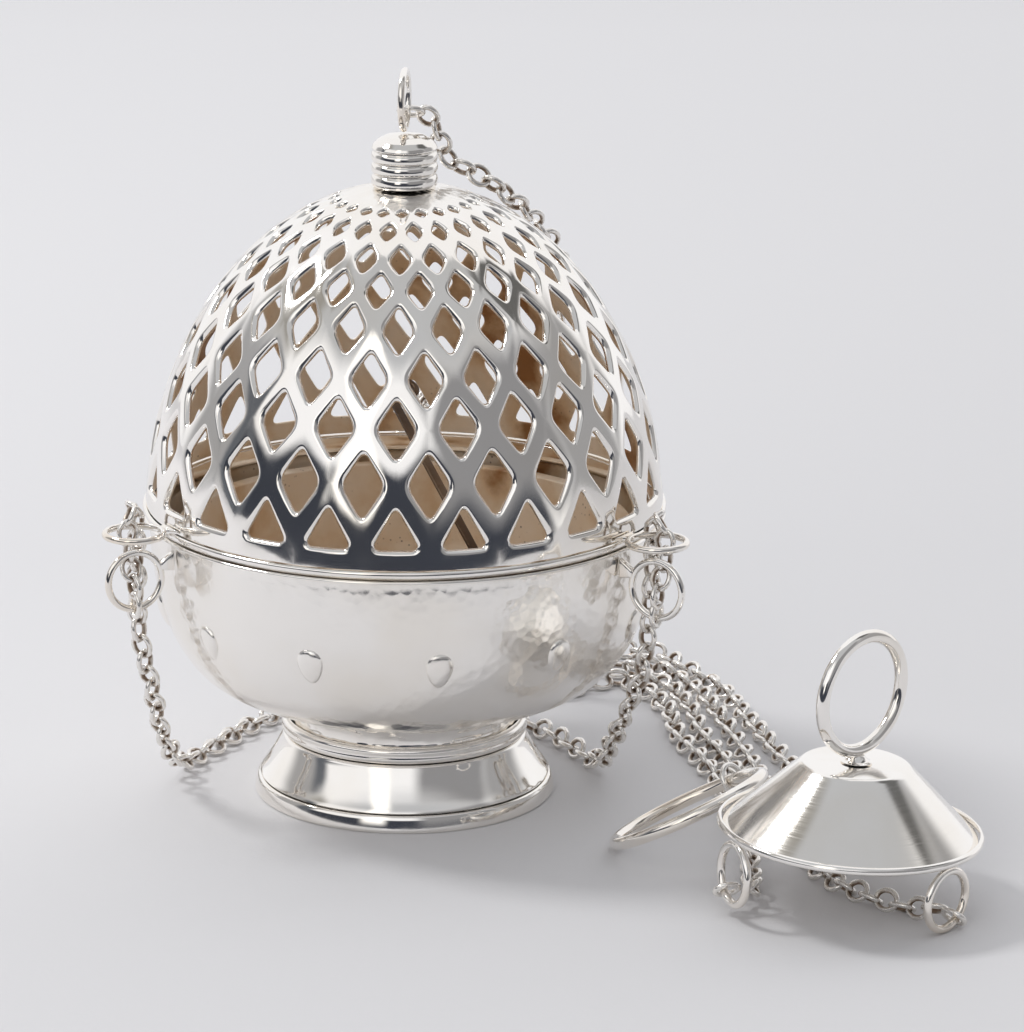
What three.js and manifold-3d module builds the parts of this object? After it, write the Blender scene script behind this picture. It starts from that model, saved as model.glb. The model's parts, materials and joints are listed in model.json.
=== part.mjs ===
// Censer on its chains: a hammered bowl on a spun foot, a pierced cover that slides up three side
// chains, a charcoal pan inside, a hand-piece and a lifting ring. Millimetres, +Z up, front at -Y.
import * as THREE from 'three';
import { mergeVertices } from 'three/addons/utils/BufferGeometryUtils.js';
import Module from 'manifold-3d';

const wasm = await Module();
wasm.setup();

// Clearances and the way the censer stands
const gap = 0.35; // between pieces that touch
const turn = -2.2; // degrees that the censer is turned to the left

// Bowl and foot
const seam = 80.5; // height of the joint between bowl and cover
const bowlRadius = 69.5;
const bowlDepth = 52.6;
const bowlWall = 1.3;
const bossCount = 12;
const bossHeight = 54;
const bossPhase = 10.2; // degrees from the front
const footRadius = 41.3;
const footBand = 4.8;
const footTop = 27.5;

// Cover
const coverRadius = 70.4;
const coverHeight = 89.4; // from the seam to the crown
const coverStart = 2.3; // the lattice begins this far above the seam
const coverWall = 1.8;
const coverCurve = 1.89;
const openings = 24; // in a row
const openingPhase = 0.3; // degrees from the front
const triangleFoot = 7.4; // arc lengths up the outside of the cover
const triangleTop = 19.0;
const lozengeMiddles = [24.3, 39.2, 52.4, 66.2, 77.9, 87.8, 97.9, 105.8];
const lozengeHalves = [9.3, 8.6, 8.1, 7.6, 6.1, 5.4, 4.1, 2.1];
const lozengeShare = 0.66; // of the pitch that an opening takes
const crownArc = 109.5;
const crownHole = 2.4;

// Small rings on the bowl and the cover
const ringRadius = 7.75; // to the middle of the wire
const ringWire = 0.95;
const ringReach = 81.2; // from the censer's axis to the middle of a side ring
const guideHeight = 83.4;
const bowlRingHeight = 70.4;
const sideAngles = { left: -60, right: 57.6, back: 180 };

// Finial
const finialRadius = 9;
const finialFoot = 170.3;
const finialTop = 184;
const finialGroove = 0.6;
const finialRingTurn = 85;

// Charcoal pan
const panRadius = 60;
const panTop = 76;
const panFloor = 30.6;
const panWall = 1;
const handleAngle = 23.1; // where the ear sits, from the front
const handleLength = 76;
const handleLean = 66.8; // degrees from upright, towards the middle
const handleWidth = 2.4;
const handleThickness = 1.1;

// Chains
const chainRadius = 2.4; // a plain round solid stands for each run of links
const chainSides = 8;
const linkRadius = 2.5;
const linkWire = 0.75;
const linkStretch = 1.3;

// Hand-piece
const handPlace = [115.4, -94.9, 19.95];
const handTilt = 3.5;
const plateRadius = 33.2;
const plateTopRadius = 14.6;
const plateHeight = 18.8;
const plateWall = 1.4;
const handRingRadius = 15.3;
const handRingWire = 1.75;
const handRingTurn = 44.5;
const eyeRadius = 7.8;
const eyeWire = 1.1;
const eyeReach = 32.5;
const eyes = {
  left: { angle: -68, linkSide: -90, pull: -1 },
  right: { angle: 47, linkSide: 90, pull: -1 },
  back: { angle: 168, linkSide: -90, pull: 1 },
};

// Lifting ring, which leans over beside the hand-piece
const liftRadius = 21.4;
const liftWire = 1.8;
const liftMiddle = new THREE.Vector3(75.7, -55.5, 12.45);
const liftNormal = new THREE.Vector3(-0.427, 0.213, 0.879).normalize();
const jumpRadius = 4.2;

const silver = { color: 0xc9c6c0, roughness: 0.2, metalness: 1 };
const chainSilver = { color: 0x9a948a, roughness: 0.32, metalness: 1 };
const tarnished = { color: 0xa88a62, roughness: 0.5, metalness: 0.8 };

const rad = THREE.MathUtils.degToRad;
const up = new THREE.Vector3(0, 0, 1);

const model = new THREE.Group();
const censer = new THREE.Group();
censer.rotation.z = rad(turn);
const hand = new THREE.Group();
hand.position.set(...handPlace);
hand.rotation.y = rad(handTilt);
model.add(censer, hand);

// Welds a geometry's corners, drops faces without area and turns the rest outwards.
function closed(geometry) {
  const bare = geometry.clone();
  bare.deleteAttribute('normal');
  bare.deleteAttribute('uv');
  const welded = mergeVertices(bare, 1e-3);
  const corners = [new THREE.Vector3(), new THREE.Vector3(), new THREE.Vector3()];
  const faces = [];
  let volume = 0;
  for (let i = 0; i < welded.index.count; i += 3) {
    const face = [0, 1, 2].map((j) => welded.index.getX(i + j));
    if (new Set(face).size < 3) continue;
    faces.push(face);
    face.forEach((f, j) => corners[j].fromBufferAttribute(welded.attributes.position, f));
    volume += corners[0].dot(corners[1].cross(corners[2]));
  }
  if (volume < 0) faces.forEach((face) => face.reverse());
  welded.setIndex(faces.flat());
  return welded;
}

function solid(geometry) {
  const g = closed(geometry);
  const vertProperties = new Float32Array(g.attributes.position.array);
  const triVerts = new Uint32Array(g.index.array);
  return new wasm.Manifold(new wasm.Mesh({ numProp: 3, vertProperties, triVerts }));
}

// One geometry from several that overlap
function join(...geometries) {
  const whole = geometries.map(solid).reduce((sum, part) => sum.add(part));
  const mesh = whole.getMesh();
  const g = new THREE.BufferGeometry();
  g.setAttribute('position', new THREE.BufferAttribute(new Float32Array(mesh.vertProperties), 3));
  g.setIndex(new THREE.BufferAttribute(new Uint32Array(mesh.triVerts), 1));
  return g;
}

function piece(name, geometry, look, parent) {
  const g = closed(geometry);
  g.computeVertexNormals();
  const mesh = new THREE.Mesh(g, new THREE.MeshStandardMaterial(look));
  mesh.name = name;
  parent.add(mesh);
}

// A turned piece about +Z from [radius, height] points that begin and end on the axis
function turned(points, segments) {
  const outline = points.map(([r, z]) => new THREE.Vector2(r, z));
  return new THREE.LatheGeometry(outline, segments).rotateX(Math.PI / 2);
}

// A turned ring, whose outline closes on itself
function turnedRing(points, segments) {
  return turned([...points, points[0]], segments);
}

// A flat outline of [x, y] points with a thickness, centred on z = 0
function plate(points, thickness) {
  const shape = new THREE.Shape(points.map(([x, y]) => new THREE.Vector2(x, y)));
  const g = new THREE.ExtrudeGeometry(shape, { depth: thickness, bevelEnabled: false });
  return g.translate(0, 0, -thickness / 2);
}

// A wire ring in the XY plane
function wireRing(radius, wire, around = 14, across = 5) {
  return new THREE.TorusGeometry(radius, wire, across, around);
}

// The same ring standing upright, across the front
function uprightRing(radius, wire, around, across) {
  return wireRing(radius, wire, around, across).rotateX(Math.PI / 2);
}

// A point round the censer's axis, at an angle from the front towards +X
function around(angle, reach, z = 0) {
  return new THREE.Vector3(Math.sin(rad(angle)) * reach, -Math.cos(rad(angle)) * reach, z);
}

// Bowl: full at the sides and nearly flat below
function bowlProfile(radius, depth, steps) {
  const points = [[0, seam - depth]];
  for (let i = steps - 1; i >= 0; i--) {
    const t = ((i / steps) * Math.PI) / 2;
    const down = Math.max(depth * Math.sin(t) ** (2 / 2.15), gap);
    points.push([radius * Math.cos(t) ** (2 / 5.5), seam - down]);
  }
  return points;
}

function bowlRadiusAt(height) {
  return bowlRadius * (1 - ((seam - height) / bowlDepth) ** 2.15) ** (1 / 5.5);
}

// A teardrop boss, wide above and narrow below, laid on the bowl's side
function boss() {
  const g = new THREE.SphereGeometry(1, 7, 4).rotateX(Math.PI / 2);
  const p = g.attributes.position;
  for (let i = 0; i < p.count; i++) {
    const depth = p.getY(i) < 0 ? 1.8 : 0.5;
    const width = 4.2 * (1 + 0.25 * p.getZ(i));
    p.setXYZ(i, p.getX(i) * width, p.getY(i) * depth, p.getZ(i) * 5.6);
  }
  const slope = Math.atan2(bowlRadiusAt(bossHeight + 5) - bowlRadiusAt(bossHeight - 5), 10);
  return g.rotateX(slope).translate(0, 0.2 - bowlRadiusAt(bossHeight), bossHeight);
}

function bowl() {
  const outside = bowlProfile(bowlRadius, bowlDepth, 10);
  const inside = bowlProfile(bowlRadius - bowlWall, bowlDepth - bowlWall, 8);
  const shell = turned([...outside, ...inside.reverse()], 48);
  const bosses = [];
  for (let i = 0; i < bossCount; i++) {
    bosses.push(boss().rotateZ(rad(bossPhase + (360 / bossCount) * i)));
  }
  return join(shell, ...bosses);
}

function bowlRimWire() {
  const inside = bowlRadius + gap;
  return turnedRing(
    [
      [inside, seam - 1.7],
      [inside + 1.0, seam - 1.6],
      [inside + 1.4, seam - 1.0],
      [inside + 1.0, seam - gap],
      [inside, seam - gap],
    ],
    48,
  );
}

function foot() {
  return turnedRing(
    [
      [38.6, footBand + gap],
      [40.0, footBand + gap],
      [36.4, 10.4],
      [33.2, 16.7],
      [31.6, 16.7],
      [31.3, 22.4],
      [31.9, 25.4],
      [33.4, footTop],
      [30.2, footTop],
      [30.2, 16.4],
      [34.7, 10.2],
    ],
    40,
  );
}

function footBaseBand() {
  return turnedRing(
    [
      [footRadius - 3.6, 0],
      [footRadius - 0.4, 0],
      [footRadius, 0.6],
      [footRadius - 0.7, footBand - 0.9],
      [footRadius - 1.3, footBand],
      [footRadius - 3.6, footBand],
    ],
    40,
  );
}

function footMoulding() {
  return turnedRing(
    [
      [32.0, 17.1],
      [33.2, 17.1],
      [33.9, 18.2],
      [33.6, 19.3],
      [33.9, 20.4],
      [33.2, 21.5],
      [32.0, 21.6],
    ],
    40,
  );
}

piece('bowl', bowl(), silver, censer);
piece('bowl_rim_wire', bowlRimWire(), silver, censer);
piece('foot', foot(), silver, censer);
piece('foot_base_band', footBaseBand(), silver, censer);
piece('foot_moulding', footMoulding(), silver, censer);

// Charcoal pan, which stands on the bowl's floor
function coalPan() {
  return turned(
    [
      [0, panFloor],
      [38, panFloor],
      [46.5, panFloor + 3.6],
      [53, panFloor + 11],
      [57.5, panFloor + 23],
      [59, panTop - 1.4],
      [panRadius + 2, panTop - 1.4],
      [panRadius + 2, panTop],
      [58, panTop],
      [56.5, panFloor + 23],
      [52.2, panFloor + 11.6],
      [46, panFloor + 4.6],
      [37.8, panFloor + panWall],
      [0, panFloor + panWall],
    ],
    36,
  );
}

const pinReach = panRadius - 3;
const pinHeight = panTop + 3.7;

// Two ears on a small base, with the pin between them
function panLug() {
  const base = new THREE.BoxGeometry(6, 5, 0.8).translate(0, -panRadius + 2, panTop + gap + 0.4);
  const pin = new THREE.CylinderGeometry(0.6, 0.6, 5, 10).rotateZ(Math.PI / 2);
  const parts = [base, pin.translate(0, -pinReach, pinHeight)];
  for (const x of [-2.3, 2.3]) {
    parts.push(new THREE.BoxGeometry(0.9, 2.6, 4.4).translate(x, -pinReach, pinHeight - 0.9));
  }
  return join(...parts).rotateZ(rad(handleAngle));
}

// The strap, with an eye round the pin below and its top end bent sideways into a finger eye
function panHandle() {
  const strapLength = handleLength - 3.6;
  const strap = new THREE.BoxGeometry(handleWidth, handleThickness, strapLength);
  const pinEye = wireRing(1.55, 0.55, 12, 5).rotateY(Math.PI / 2);
  const fingerEye = uprightRing(3.6, 1, 14, 5).translate(4.4, 0, handleLength);
  const whole = join(strap.translate(0, 0, 1.6 + strapLength / 2), pinEye, fingerEye);
  whole.rotateX(-rad(handleLean)).translate(0, -pinReach, pinHeight);
  return whole.rotateZ(rad(handleAngle));
}

piece('coal_pan', coalPan(), tarnished, censer);
piece('pan_lug', panLug(), tarnished, censer);
piece('pan_handle', panHandle(), tarnished, censer);

// The cover's outside as a fine list of points with their arc lengths up from the seam
function coverOutline() {
  const steps = 2000;
  const outline = [];
  let arc = 0;
  for (let i = 0; i <= steps; i++) {
    const rise = coverHeight * Math.sin(((i / steps) * Math.PI) / 2);
    const share = Math.min(rise / coverHeight, 1) ** coverCurve;
    const radius = coverRadius * Math.sqrt(1 - share);
    const last = outline.at(-1);
    if (last) arc += Math.hypot(radius - last.radius, rise - last.rise);
    outline.push({ arc, radius, rise });
  }
  return outline;
}
const coverLine = coverOutline();

// A point of the cover's wall at an arc length and angle, at a depth under the outside
function coverPoint(arc, angle, depth = 0) {
  const i = Math.max(1, coverLine.findIndex((point) => point.arc >= arc));
  const [a, b] = [coverLine[i - 1], coverLine[i]];
  const share = (arc - a.arc) / (b.arc - a.arc);
  const outward = new THREE.Vector2(b.rise - a.rise, a.radius - b.radius).normalize();
  const radius = THREE.MathUtils.lerp(a.radius, b.radius, share) - outward.x * depth;
  const rise = THREE.MathUtils.lerp(a.rise, b.rise, share) - outward.y * depth;
  return around(angle, radius, seam + rise);
}

// The pierced dome. Each corner on the outside has its twin on the inside at the next index.
function coverDome() {
  const positions = [];
  const faces = [];
  const known = new Map();
  const pitch = 360 / openings;
  const half = (lozengeShare * pitch) / 2;
  const triangleHalf = half * 1.06;

  function corner(arc, angle) {
    const key = `${arc.toFixed(3)} ${(Math.round(angle * 1000) + 720000) % 360000}`;
    if (!known.has(key)) {
      known.set(key, positions.length / 3);
      positions.push(...coverPoint(arc, angle), ...coverPoint(arc, angle, coverWall));
    }
    return known.get(key);
  }
  function web(...corners) {
    for (let i = 2; i < corners.length; i++) {
      faces.push(corners[0], corners[i - 1], corners[i]);
      faces.push(corners[0] + 1, corners[i] + 1, corners[i - 1] + 1);
    }
  }
  function edge(a, b) {
    faces.push(a, b, b + 1, a, b + 1, a + 1);
  }
  function hole(...corners) {
    corners.forEach((c, i) => edge(c, corners[(i + 1) % corners.length]));
  }

  // Row 0 holds triangles. Every row above holds lozenges, half a pitch further round.
  function opening(row, column) {
    const middle = openingPhase + (column + (row % 2) / 2) * pitch;
    if (row === 0) {
      const left = corner(triangleFoot, middle - triangleHalf);
      const right = corner(triangleFoot, middle + triangleHalf);
      return { left, right, top: corner(triangleTop, middle), middle };
    }
    const arc = lozengeMiddles[row - 1];
    const reach = lozengeHalves[row - 1];
    const left = corner(arc, middle - half);
    const right = corner(arc, middle + half);
    const bottom = corner(arc - reach, middle);
    return { left, right, bottom, top: corner(arc + reach, middle), middle };
  }

  for (let k = 0; k < openings; k++) {
    const here = opening(0, k);
    const next = opening(0, k + 1);
    const angles = [-triangleHalf, triangleHalf, pitch - triangleHalf];
    const feet = angles.map((angle) => corner(coverStart, here.middle + angle));
    web(feet[0], feet[1], here.right, here.left);
    web(feet[1], feet[2], next.left, here.right);
    web(here.right, next.left, opening(1, k).bottom);
    edge(feet[1], feet[0]);
    edge(feet[2], feet[1]);
    hole(here.left, here.right, here.top);
  }
  const last = lozengeMiddles.length;
  for (let row = 0; row < last; row++) {
    for (let k = 0; k < openings; k++) {
      const a = opening(row, k);
      const b = opening(row, k + 1);
      const above = opening(row + 1, k + (row % 2));
      web(a.right, above.bottom, above.left, a.top);
      web(b.left, b.top, above.right, above.bottom);
      hole(above.left, above.bottom, above.right, above.top);
      if (row > 0) web(a.right, opening(row - 1, k + (row % 2)).top, b.left, above.bottom);
    }
  }
  const hubArc = coverLine.find((point) => point.radius <= crownHole).arc;
  for (let k = 0; k < openings; k++) {
    const a = opening(last, k);
    const b = opening(last, k + 1);
    const angles = [0, pitch / 2, pitch];
    const crown = angles.map((angle) => corner(crownArc, a.middle + angle));
    const hub = angles.map((angle) => corner(hubArc, a.middle + angle));
    web(a.right, opening(last - 1, k + (last % 2)).top, b.left, crown[1]);
    web(a.right, crown[1], crown[0], a.top);
    web(b.left, b.top, crown[2], crown[1]);
    for (const i of [0, 1]) {
      web(crown[i], crown[i + 1], hub[i + 1], hub[i]);
      edge(hub[i], hub[i + 1]);
    }
  }
  const g = new THREE.BufferGeometry();
  g.setAttribute('position', new THREE.Float32BufferAttribute(positions, 3));
  g.setIndex(faces);
  return g;
}

// The lip that stands on the bowl, with the collar that drops inside it
function coverRim() {
  const lip = seam + 0.1;
  return turnedRing(
    [
      [66.4, lip - 3],
      [67.6, lip - 3],
      [67.6, lip],
      [70.9, lip],
      [71.3, lip + 0.5],
      [71.3, lip + 1.4],
      [70.9, lip + 1.85],
      [66.4, lip + 1.85],
    ],
    48,
  );
}

piece('cover_dome', coverDome(), silver, censer);
piece('cover_rim', coverRim(), silver, censer);

// A flat ring with the tab that carries it on the cover's lip
function guideRing() {
  const tabStart = ringReach - coverRadius - gap;
  const tabEnd = ringRadius - 0.5;
  const tab = plate([[-4.6, tabStart], [-1.6, tabEnd], [1.6, tabEnd], [4.6, tabStart]], 1.2);
  return join(wireRing(ringRadius, ringWire), tab).translate(0, -ringReach, guideHeight);
}

// An upright ring with the V lug that carries it under the bowl's rim
function bowlRing() {
  const inside = ringReach - bowlRadius - gap;
  const outside = ringRadius - 0.5;
  const lug = plate([[inside, 7], [inside, 1.5], [outside, 2.2], [outside, 4.2]], 2.2);
  const whole = join(wireRing(ringRadius, ringWire), lug).rotateX(Math.PI / 2);
  return whole.rotateZ(Math.PI / 2).translate(0, -ringReach, bowlRingHeight);
}

// One end link, placed on a wire that passes through it, and reaching out along pull
function endLink(onWire, wireWay, pull, wire, radius = linkRadius, stretch = linkStretch) {
  const across = new THREE.Vector3().crossVectors(wireWay, pull).normalize();
  const along = new THREE.Vector3().crossVectors(across, wireWay).normalize();
  const reach = (radius - linkWire) * stretch - wire - gap;
  const middle = onWire.clone().addScaledVector(along, reach);
  const place = new THREE.Matrix4().makeBasis(along, across, wireWay.clone().normalize());
  place.setPosition(middle);
  const link = wireRing(radius, linkWire, 12, 5).scale(stretch, 1, 1);
  return link.applyMatrix4(place);
}

for (const [side, angle] of Object.entries(sideAngles)) {
  piece(`guide_ring_${side}`, guideRing().rotateZ(rad(angle)), silver, censer);
  piece(`bowl_ring_${side}`, bowlRing().rotateZ(rad(angle)), silver, censer);
  const onWire = around(angle, ringReach, bowlRingHeight - ringRadius);
  piece(`bowl_link_${side}`, endLink(onWire, around(angle, 1), up, ringWire), chainSilver, censer);
}

// Finial, whose stem passes through the crown
function finial() {
  const outline = [
    [0, finialFoot - 6.4],
    [2, finialFoot - 6.4],
    [2, finialFoot],
    [7.2, finialFoot],
    [8.5, finialFoot + 1.2],
  ];
  for (const height of [2.8, 6.0, 9.1]) {
    outline.push([finialRadius, finialFoot + height - 0.6]);
    outline.push([finialRadius - finialGroove, finialFoot + height - 0.1]);
    outline.push([finialRadius, finialFoot + height + 0.5]);
  }
  outline.push([8.5, finialFoot + 10.6]);
  outline.push([7.2, finialFoot + 11.9]);
  outline.push([5.2, finialFoot + 12.9]);
  outline.push([2.8, finialTop - 0.3]);
  outline.push([0, finialTop]);
  return turned(outline, 20);
}

function finialNut() {
  const bottom = finialFoot - 6.1;
  return turnedRing([[2.75, bottom], [4.8, bottom], [4.8, bottom + 2.7], [2.75, bottom + 2.7]], 6);
}

const finialRingMiddle = new THREE.Vector3(0, 0, finialTop + gap + ringRadius + ringWire);

function finialRing() {
  const ring = uprightRing(ringRadius, ringWire).rotateZ(rad(finialRingTurn));
  return ring.translate(...finialRingMiddle);
}

// The centre chain's link hangs low on the far side of the finial ring.
function finialLink() {
  const way = new THREE.Vector3(Math.cos(rad(finialRingTurn)), Math.sin(rad(finialRingTurn)), 0);
  const low = rad(35);
  const out = way.clone().multiplyScalar(Math.cos(low)).addScaledVector(up, -Math.sin(low));
  const wireWay = way.clone().multiplyScalar(Math.sin(low)).addScaledVector(up, Math.cos(low));
  const onWire = finialRingMiddle.clone().addScaledVector(out, ringRadius);
  return endLink(onWire, wireWay, new THREE.Vector3(1, 0, 0), ringWire);
}

piece('finial', finial(), silver, censer);
piece('finial_nut', finialNut(), tarnished, censer);
piece('finial_ring', finialRing(), silver, censer);
piece('finial_link', finialLink(), chainSilver, censer);

// Hand-piece: a hollow cone that stands on three eyes, with a big ring on top
function handPlate() {
  return turned(
    [
      [0, plateHeight],
      [plateTopRadius - 0.9, plateHeight],
      [plateTopRadius, plateHeight - 0.6],
      [plateRadius, 0.4],
      [plateRadius, 0],
      [plateRadius - plateWall, 0],
      [plateTopRadius - 1.4, plateHeight - 2],
      [0, plateHeight - 1.4],
    ],
    40,
  );
}

function handPlateWire() {
  return turnedRing(
    [
      [plateRadius + gap, -0.2],
      [plateRadius + 1.1, 0],
      [plateRadius + 1.5, 0.9],
      [plateRadius + 1.0, 1.8],
      [plateRadius + gap, 2.0],
    ],
    40,
  );
}

const seatFoot = plateHeight + gap;
const seatTop = seatFoot + 0.9;

function handRingSeat() {
  return turned(
    [
      [0, seatFoot],
      [4.2, seatFoot],
      [3.2, seatFoot + 0.4],
      [2.4, seatTop],
      [0, seatTop],
    ],
    20,
  );
}

function handRing() {
  const ring = uprightRing(handRingRadius, handRingWire, 28, 6).rotateZ(rad(handRingTurn));
  return ring.translate(0, 0, seatTop + gap + handRingRadius + handRingWire);
}

piece('hand_plate', handPlate(), silver, hand);
piece('hand_plate_wire', handPlateWire(), silver, hand);
piece('hand_ring_seat', handRingSeat(), silver, hand);
piece('hand_ring', handRing(), silver, hand);

// Each eye stands under the rim across the radius, and its chain's link hangs low on one side.
const eyeLow = rad(50);
for (const [side, { angle, linkSide, pull }] of Object.entries(eyes)) {
  const middle = around(angle, eyeReach, -0.2 - gap - eyeRadius - eyeWire);
  const eye = uprightRing(eyeRadius, eyeWire).rotateZ(rad(angle)).translate(...middle);
  piece(`hand_eye_${side}`, eye, silver, hand);
  const way = around(angle + linkSide, 1);
  const out = way.clone().multiplyScalar(Math.cos(eyeLow)).addScaledVector(up, -Math.sin(eyeLow));
  const wireWay = way.clone().multiplyScalar(Math.sin(eyeLow)).addScaledVector(up, Math.cos(eyeLow));
  const onWire = middle.clone().addScaledVector(out, eyeRadius);
  const link = endLink(onWire, wireWay, around(angle, pull), eyeWire);
  piece(`eye_link_${side}`, link, chainSilver, hand);
}

// Lifting ring and the wide link that joins it to the centre chain
function liftingRing() {
  const turnTo = new THREE.Quaternion().setFromUnitVectors(up, liftNormal);
  const ring = wireRing(liftRadius, liftWire, 30, 6).applyQuaternion(turnTo);
  return ring.translate(...liftMiddle);
}

function liftLink() {
  const out = new THREE.Vector3(0.56, 0.82, 0.07).projectOnPlane(liftNormal).normalize();
  const wireWay = new THREE.Vector3().crossVectors(liftNormal, out);
  const onWire = liftMiddle.clone().addScaledVector(out, liftRadius);
  return endLink(onWire, wireWay, out, liftWire, jumpRadius, 1);
}

piece('lifting_ring', liftingRing(), silver, model);
piece('lift_link', liftLink(), silver, model);

// Chains: round solids through hand-chosen points, finer where they turn over a ring
const chainRoutes = {
  left: [
    [-71.9, -37.6, 68.6],
    [-72.6, -36.4, 72.0],
    [-73.5, -34.6, 76.5],
    [-73.6, -34.4, 83.0],
    [-73.4, -33.4, 86.2],
    [-72.8, -31.2, 87.8],
    [-72.1, -28.6, 87.6],
    [-71.7, -26.7, 85.6],
    [-71.6, -26.2, 82.0],
    [-71.9, -26.0, 70.0],
    [-72.0, -26.0, 58.3],
    [-70.6, -25.0, 47.0],
    [-68.9, -22.0, 37.5],
    [-66.8, -13.0, 21.7],
    [-65.0, -5.0, 13.0],
    [-62.2, 5.0, 5.6],
    [-58.5, 17.0, 2.6],
    [-52.0, 30.0, 2.6],
    [-44.0, 45.0, 2.6],
    [-32.0, 62.0, 2.6],
    [-20.0, 78.0, 2.6],
    [-8.0, 92.0, 2.6],
    [12.0, 99.5, 2.6],
    [26.0, 100.0, 2.6],
    [40.0, 100.5, 2.6],
    [60.0, 105.5, 2.6],
    [70.0, 105.0, 2.6],
    [76.0, 97.0, 2.6],
    [82.0, 85.0, 2.6],
    [86.0, 72.0, 2.6],
    [91.0, 47.0, 2.6],
    [93.0, 34.5, 2.6],
    [95.0, 22.0, 2.6],
    [98.0, 0.0, 2.6],
    [100.0, -15.0, 2.6],
    [102.0, -30.0, 2.6],
    [104.0, -45.0, 2.6],
    [106.0, -60.0, 2.6],
    [111.0, -82.0, 2.6],
    [121.0, -97.0, 2.6],
    [131.0, -105.4, 2.8],
    [136.6, -109.2, 4.0],
  ],
  right: [
    [67.0, -45.9, 68.6],
    [67.7, -44.9, 72.0],
    [68.9, -43.1, 76.5],
    [69.0, -42.9, 83.0],
    [68.6, -41.8, 86.2],
    [67.6, -39.6, 87.8],
    [66.6, -37.2, 87.6],
    [66.1, -35.4, 85.6],
    [66.0, -34.9, 82.0],
    [65.9, -34.7, 70.0],
    [65.4, -34.2, 56.0],
    [64.1, -32.0, 45.0],
    [62.2, -28.0, 36.6],
    [59.9, -21.0, 27.2],
    [56.8, -10.0, 16.0],
    [54.6, 2.0, 7.0],
    [51.8, 16.0, 2.7],
    [46.0, 28.0, 2.6],
    [39.8, 40.0, 2.6],
    [31.0, 50.0, 2.6],
    [27.0, 60.0, 2.6],
    [33.0, 69.0, 2.6],
    [44.0, 75.5, 2.6],
    [54.0, 84.0, 2.6],
    [61.0, 88.0, 2.6],
    [66.0, 85.5, 2.6],
    [70.0, 78.0, 2.6],
    [75.5, 58.0, 2.6],
    [77.5, 35.0, 2.6],
    [82.0, 18.0, 2.6],
    [86.0, 0.0, 2.6],
    [88.0, -20.0, 2.6],
    [90.5, -40.0, 2.6],
    [91.5, -60.0, 2.6],
    [91.0, -78.0, 2.6],
    [90.5, -90.0, 3.2],
    [89.5, -99.5, 5.6],
  ],
  back: [
    [3.4, 81.2, 68.6],
    [4.6, 81.3, 72.0],
    [6.7, 81.4, 76.5],
    [6.9, 81.4, 83.0],
    [6.8, 82.6, 86.2],
    [6.4, 85.6, 87.9],
    [5.8, 89.8, 87.9],
    [5.3, 92.4, 85.6],
    [5.1, 93.2, 82.0],
    [5.0, 95.0, 66.0],
    [4.9, 98.0, 48.0],
    [4.6, 102.0, 31.0],
    [3.8, 107.0, 16.0],
    [0.0, 113.0, 6.0],
    [-10.0, 119.0, 2.6],
    [-24.0, 117.0, 2.6],
    [-34.0, 124.0, 2.6],
    [-30.0, 134.0, 2.6],
    [-10.0, 136.0, 2.6],
    [5.0, 132.0, 2.6],
    [20.0, 128.0, 2.6],
    [35.0, 123.0, 2.6],
    [50.0, 118.0, 2.6],
    [68.0, 115.5, 2.6],
    [76.5, 110.0, 2.6],
    [81.0, 100.0, 2.6],
    [88.0, 88.0, 2.6],
    [93.0, 76.0, 2.6],
    [95.5, 63.0, 2.6],
    [98.0, 50.0, 2.6],
    [103.0, 27.0, 2.6],
    [108.0, 5.0, 2.6],
    [113.0, -15.0, 2.6],
    [119.0, -36.0, 2.6],
    [125.0, -50.0, 2.8],
    [127.7, -57.0, 3.8],
  ],
  centre: [
    [6.2, 7.3, 187.0],
    [8.4, 9.2, 183.6],
    [9.7, 10.9, 179.2],
    [10.6, 12.0, 176.0],
    [13.4, 12.9, 173.2],
    [17.6, 13.2, 170.8],
    [22.0, 13.8, 168.2],
    [26.2, 15.2, 164.9],
    [30.6, 18.8, 160.6],
    [34.8, 24.4, 155.2],
    [39.0, 29.4, 149.0],
    [42.4, 35.4, 141.0],
    [43.0, 44.4, 130.2],
    [42.6, 51.9, 118.8],
    [41.0, 58.4, 104.0],
    [40.0, 64.6, 90.0],
    [40.0, 68.0, 75.0],
    [40.6, 72.0, 52.0],
    [41.4, 76.0, 30.0],
    [41.0, 80.0, 12.0],
    [36.0, 83.5, 3.6],
    [24.0, 84.0, 2.6],
    [12.0, 81.0, 2.6],
    [5.0, 81.5, 2.6],
    [4.5, 88.3, 2.6],
    [14.0, 91.5, 2.6],
    [27.0, 92.2, 2.6],
    [40.0, 93.0, 2.6],
    [60.0, 97.5, 2.6],
    [67.0, 96.0, 2.6],
    [72.0, 88.0, 2.6],
    [77.0, 80.0, 2.6],
    [79.5, 69.0, 2.6],
    [82.0, 58.0, 2.6],
    [84.5, 35.0, 2.6],
    [88.5, 18.0, 2.6],
    [92.5, 0.0, 2.6],
    [95.0, -14.0, 3.4],
    [94.6, -23.0, 7.6],
    [92.6, -29.6, 12.4],
  ],
};

// A round bar through a list of points, with one step from each point to the next
function chainSolid(points) {
  const knots = points.map((point) => new THREE.Vector3(...point));
  const route = new THREE.CatmullRomCurve3(knots, false, 'centripetal');
  route.getUtoTmapping = (u) => u;
  const section = new THREE.Shape();
  for (let k = 0; k < chainSides; k++) {
    const angle = (2 * Math.PI * k) / chainSides;
    const spot = [chainRadius * Math.cos(angle), chainRadius * Math.sin(angle)];
    if (k === 0) section.moveTo(...spot);
    else section.lineTo(...spot);
  }
  return new THREE.ExtrudeGeometry(section, {
    steps: knots.length - 1,
    bevelEnabled: false,
    extrudePath: route,
  });
}

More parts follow.
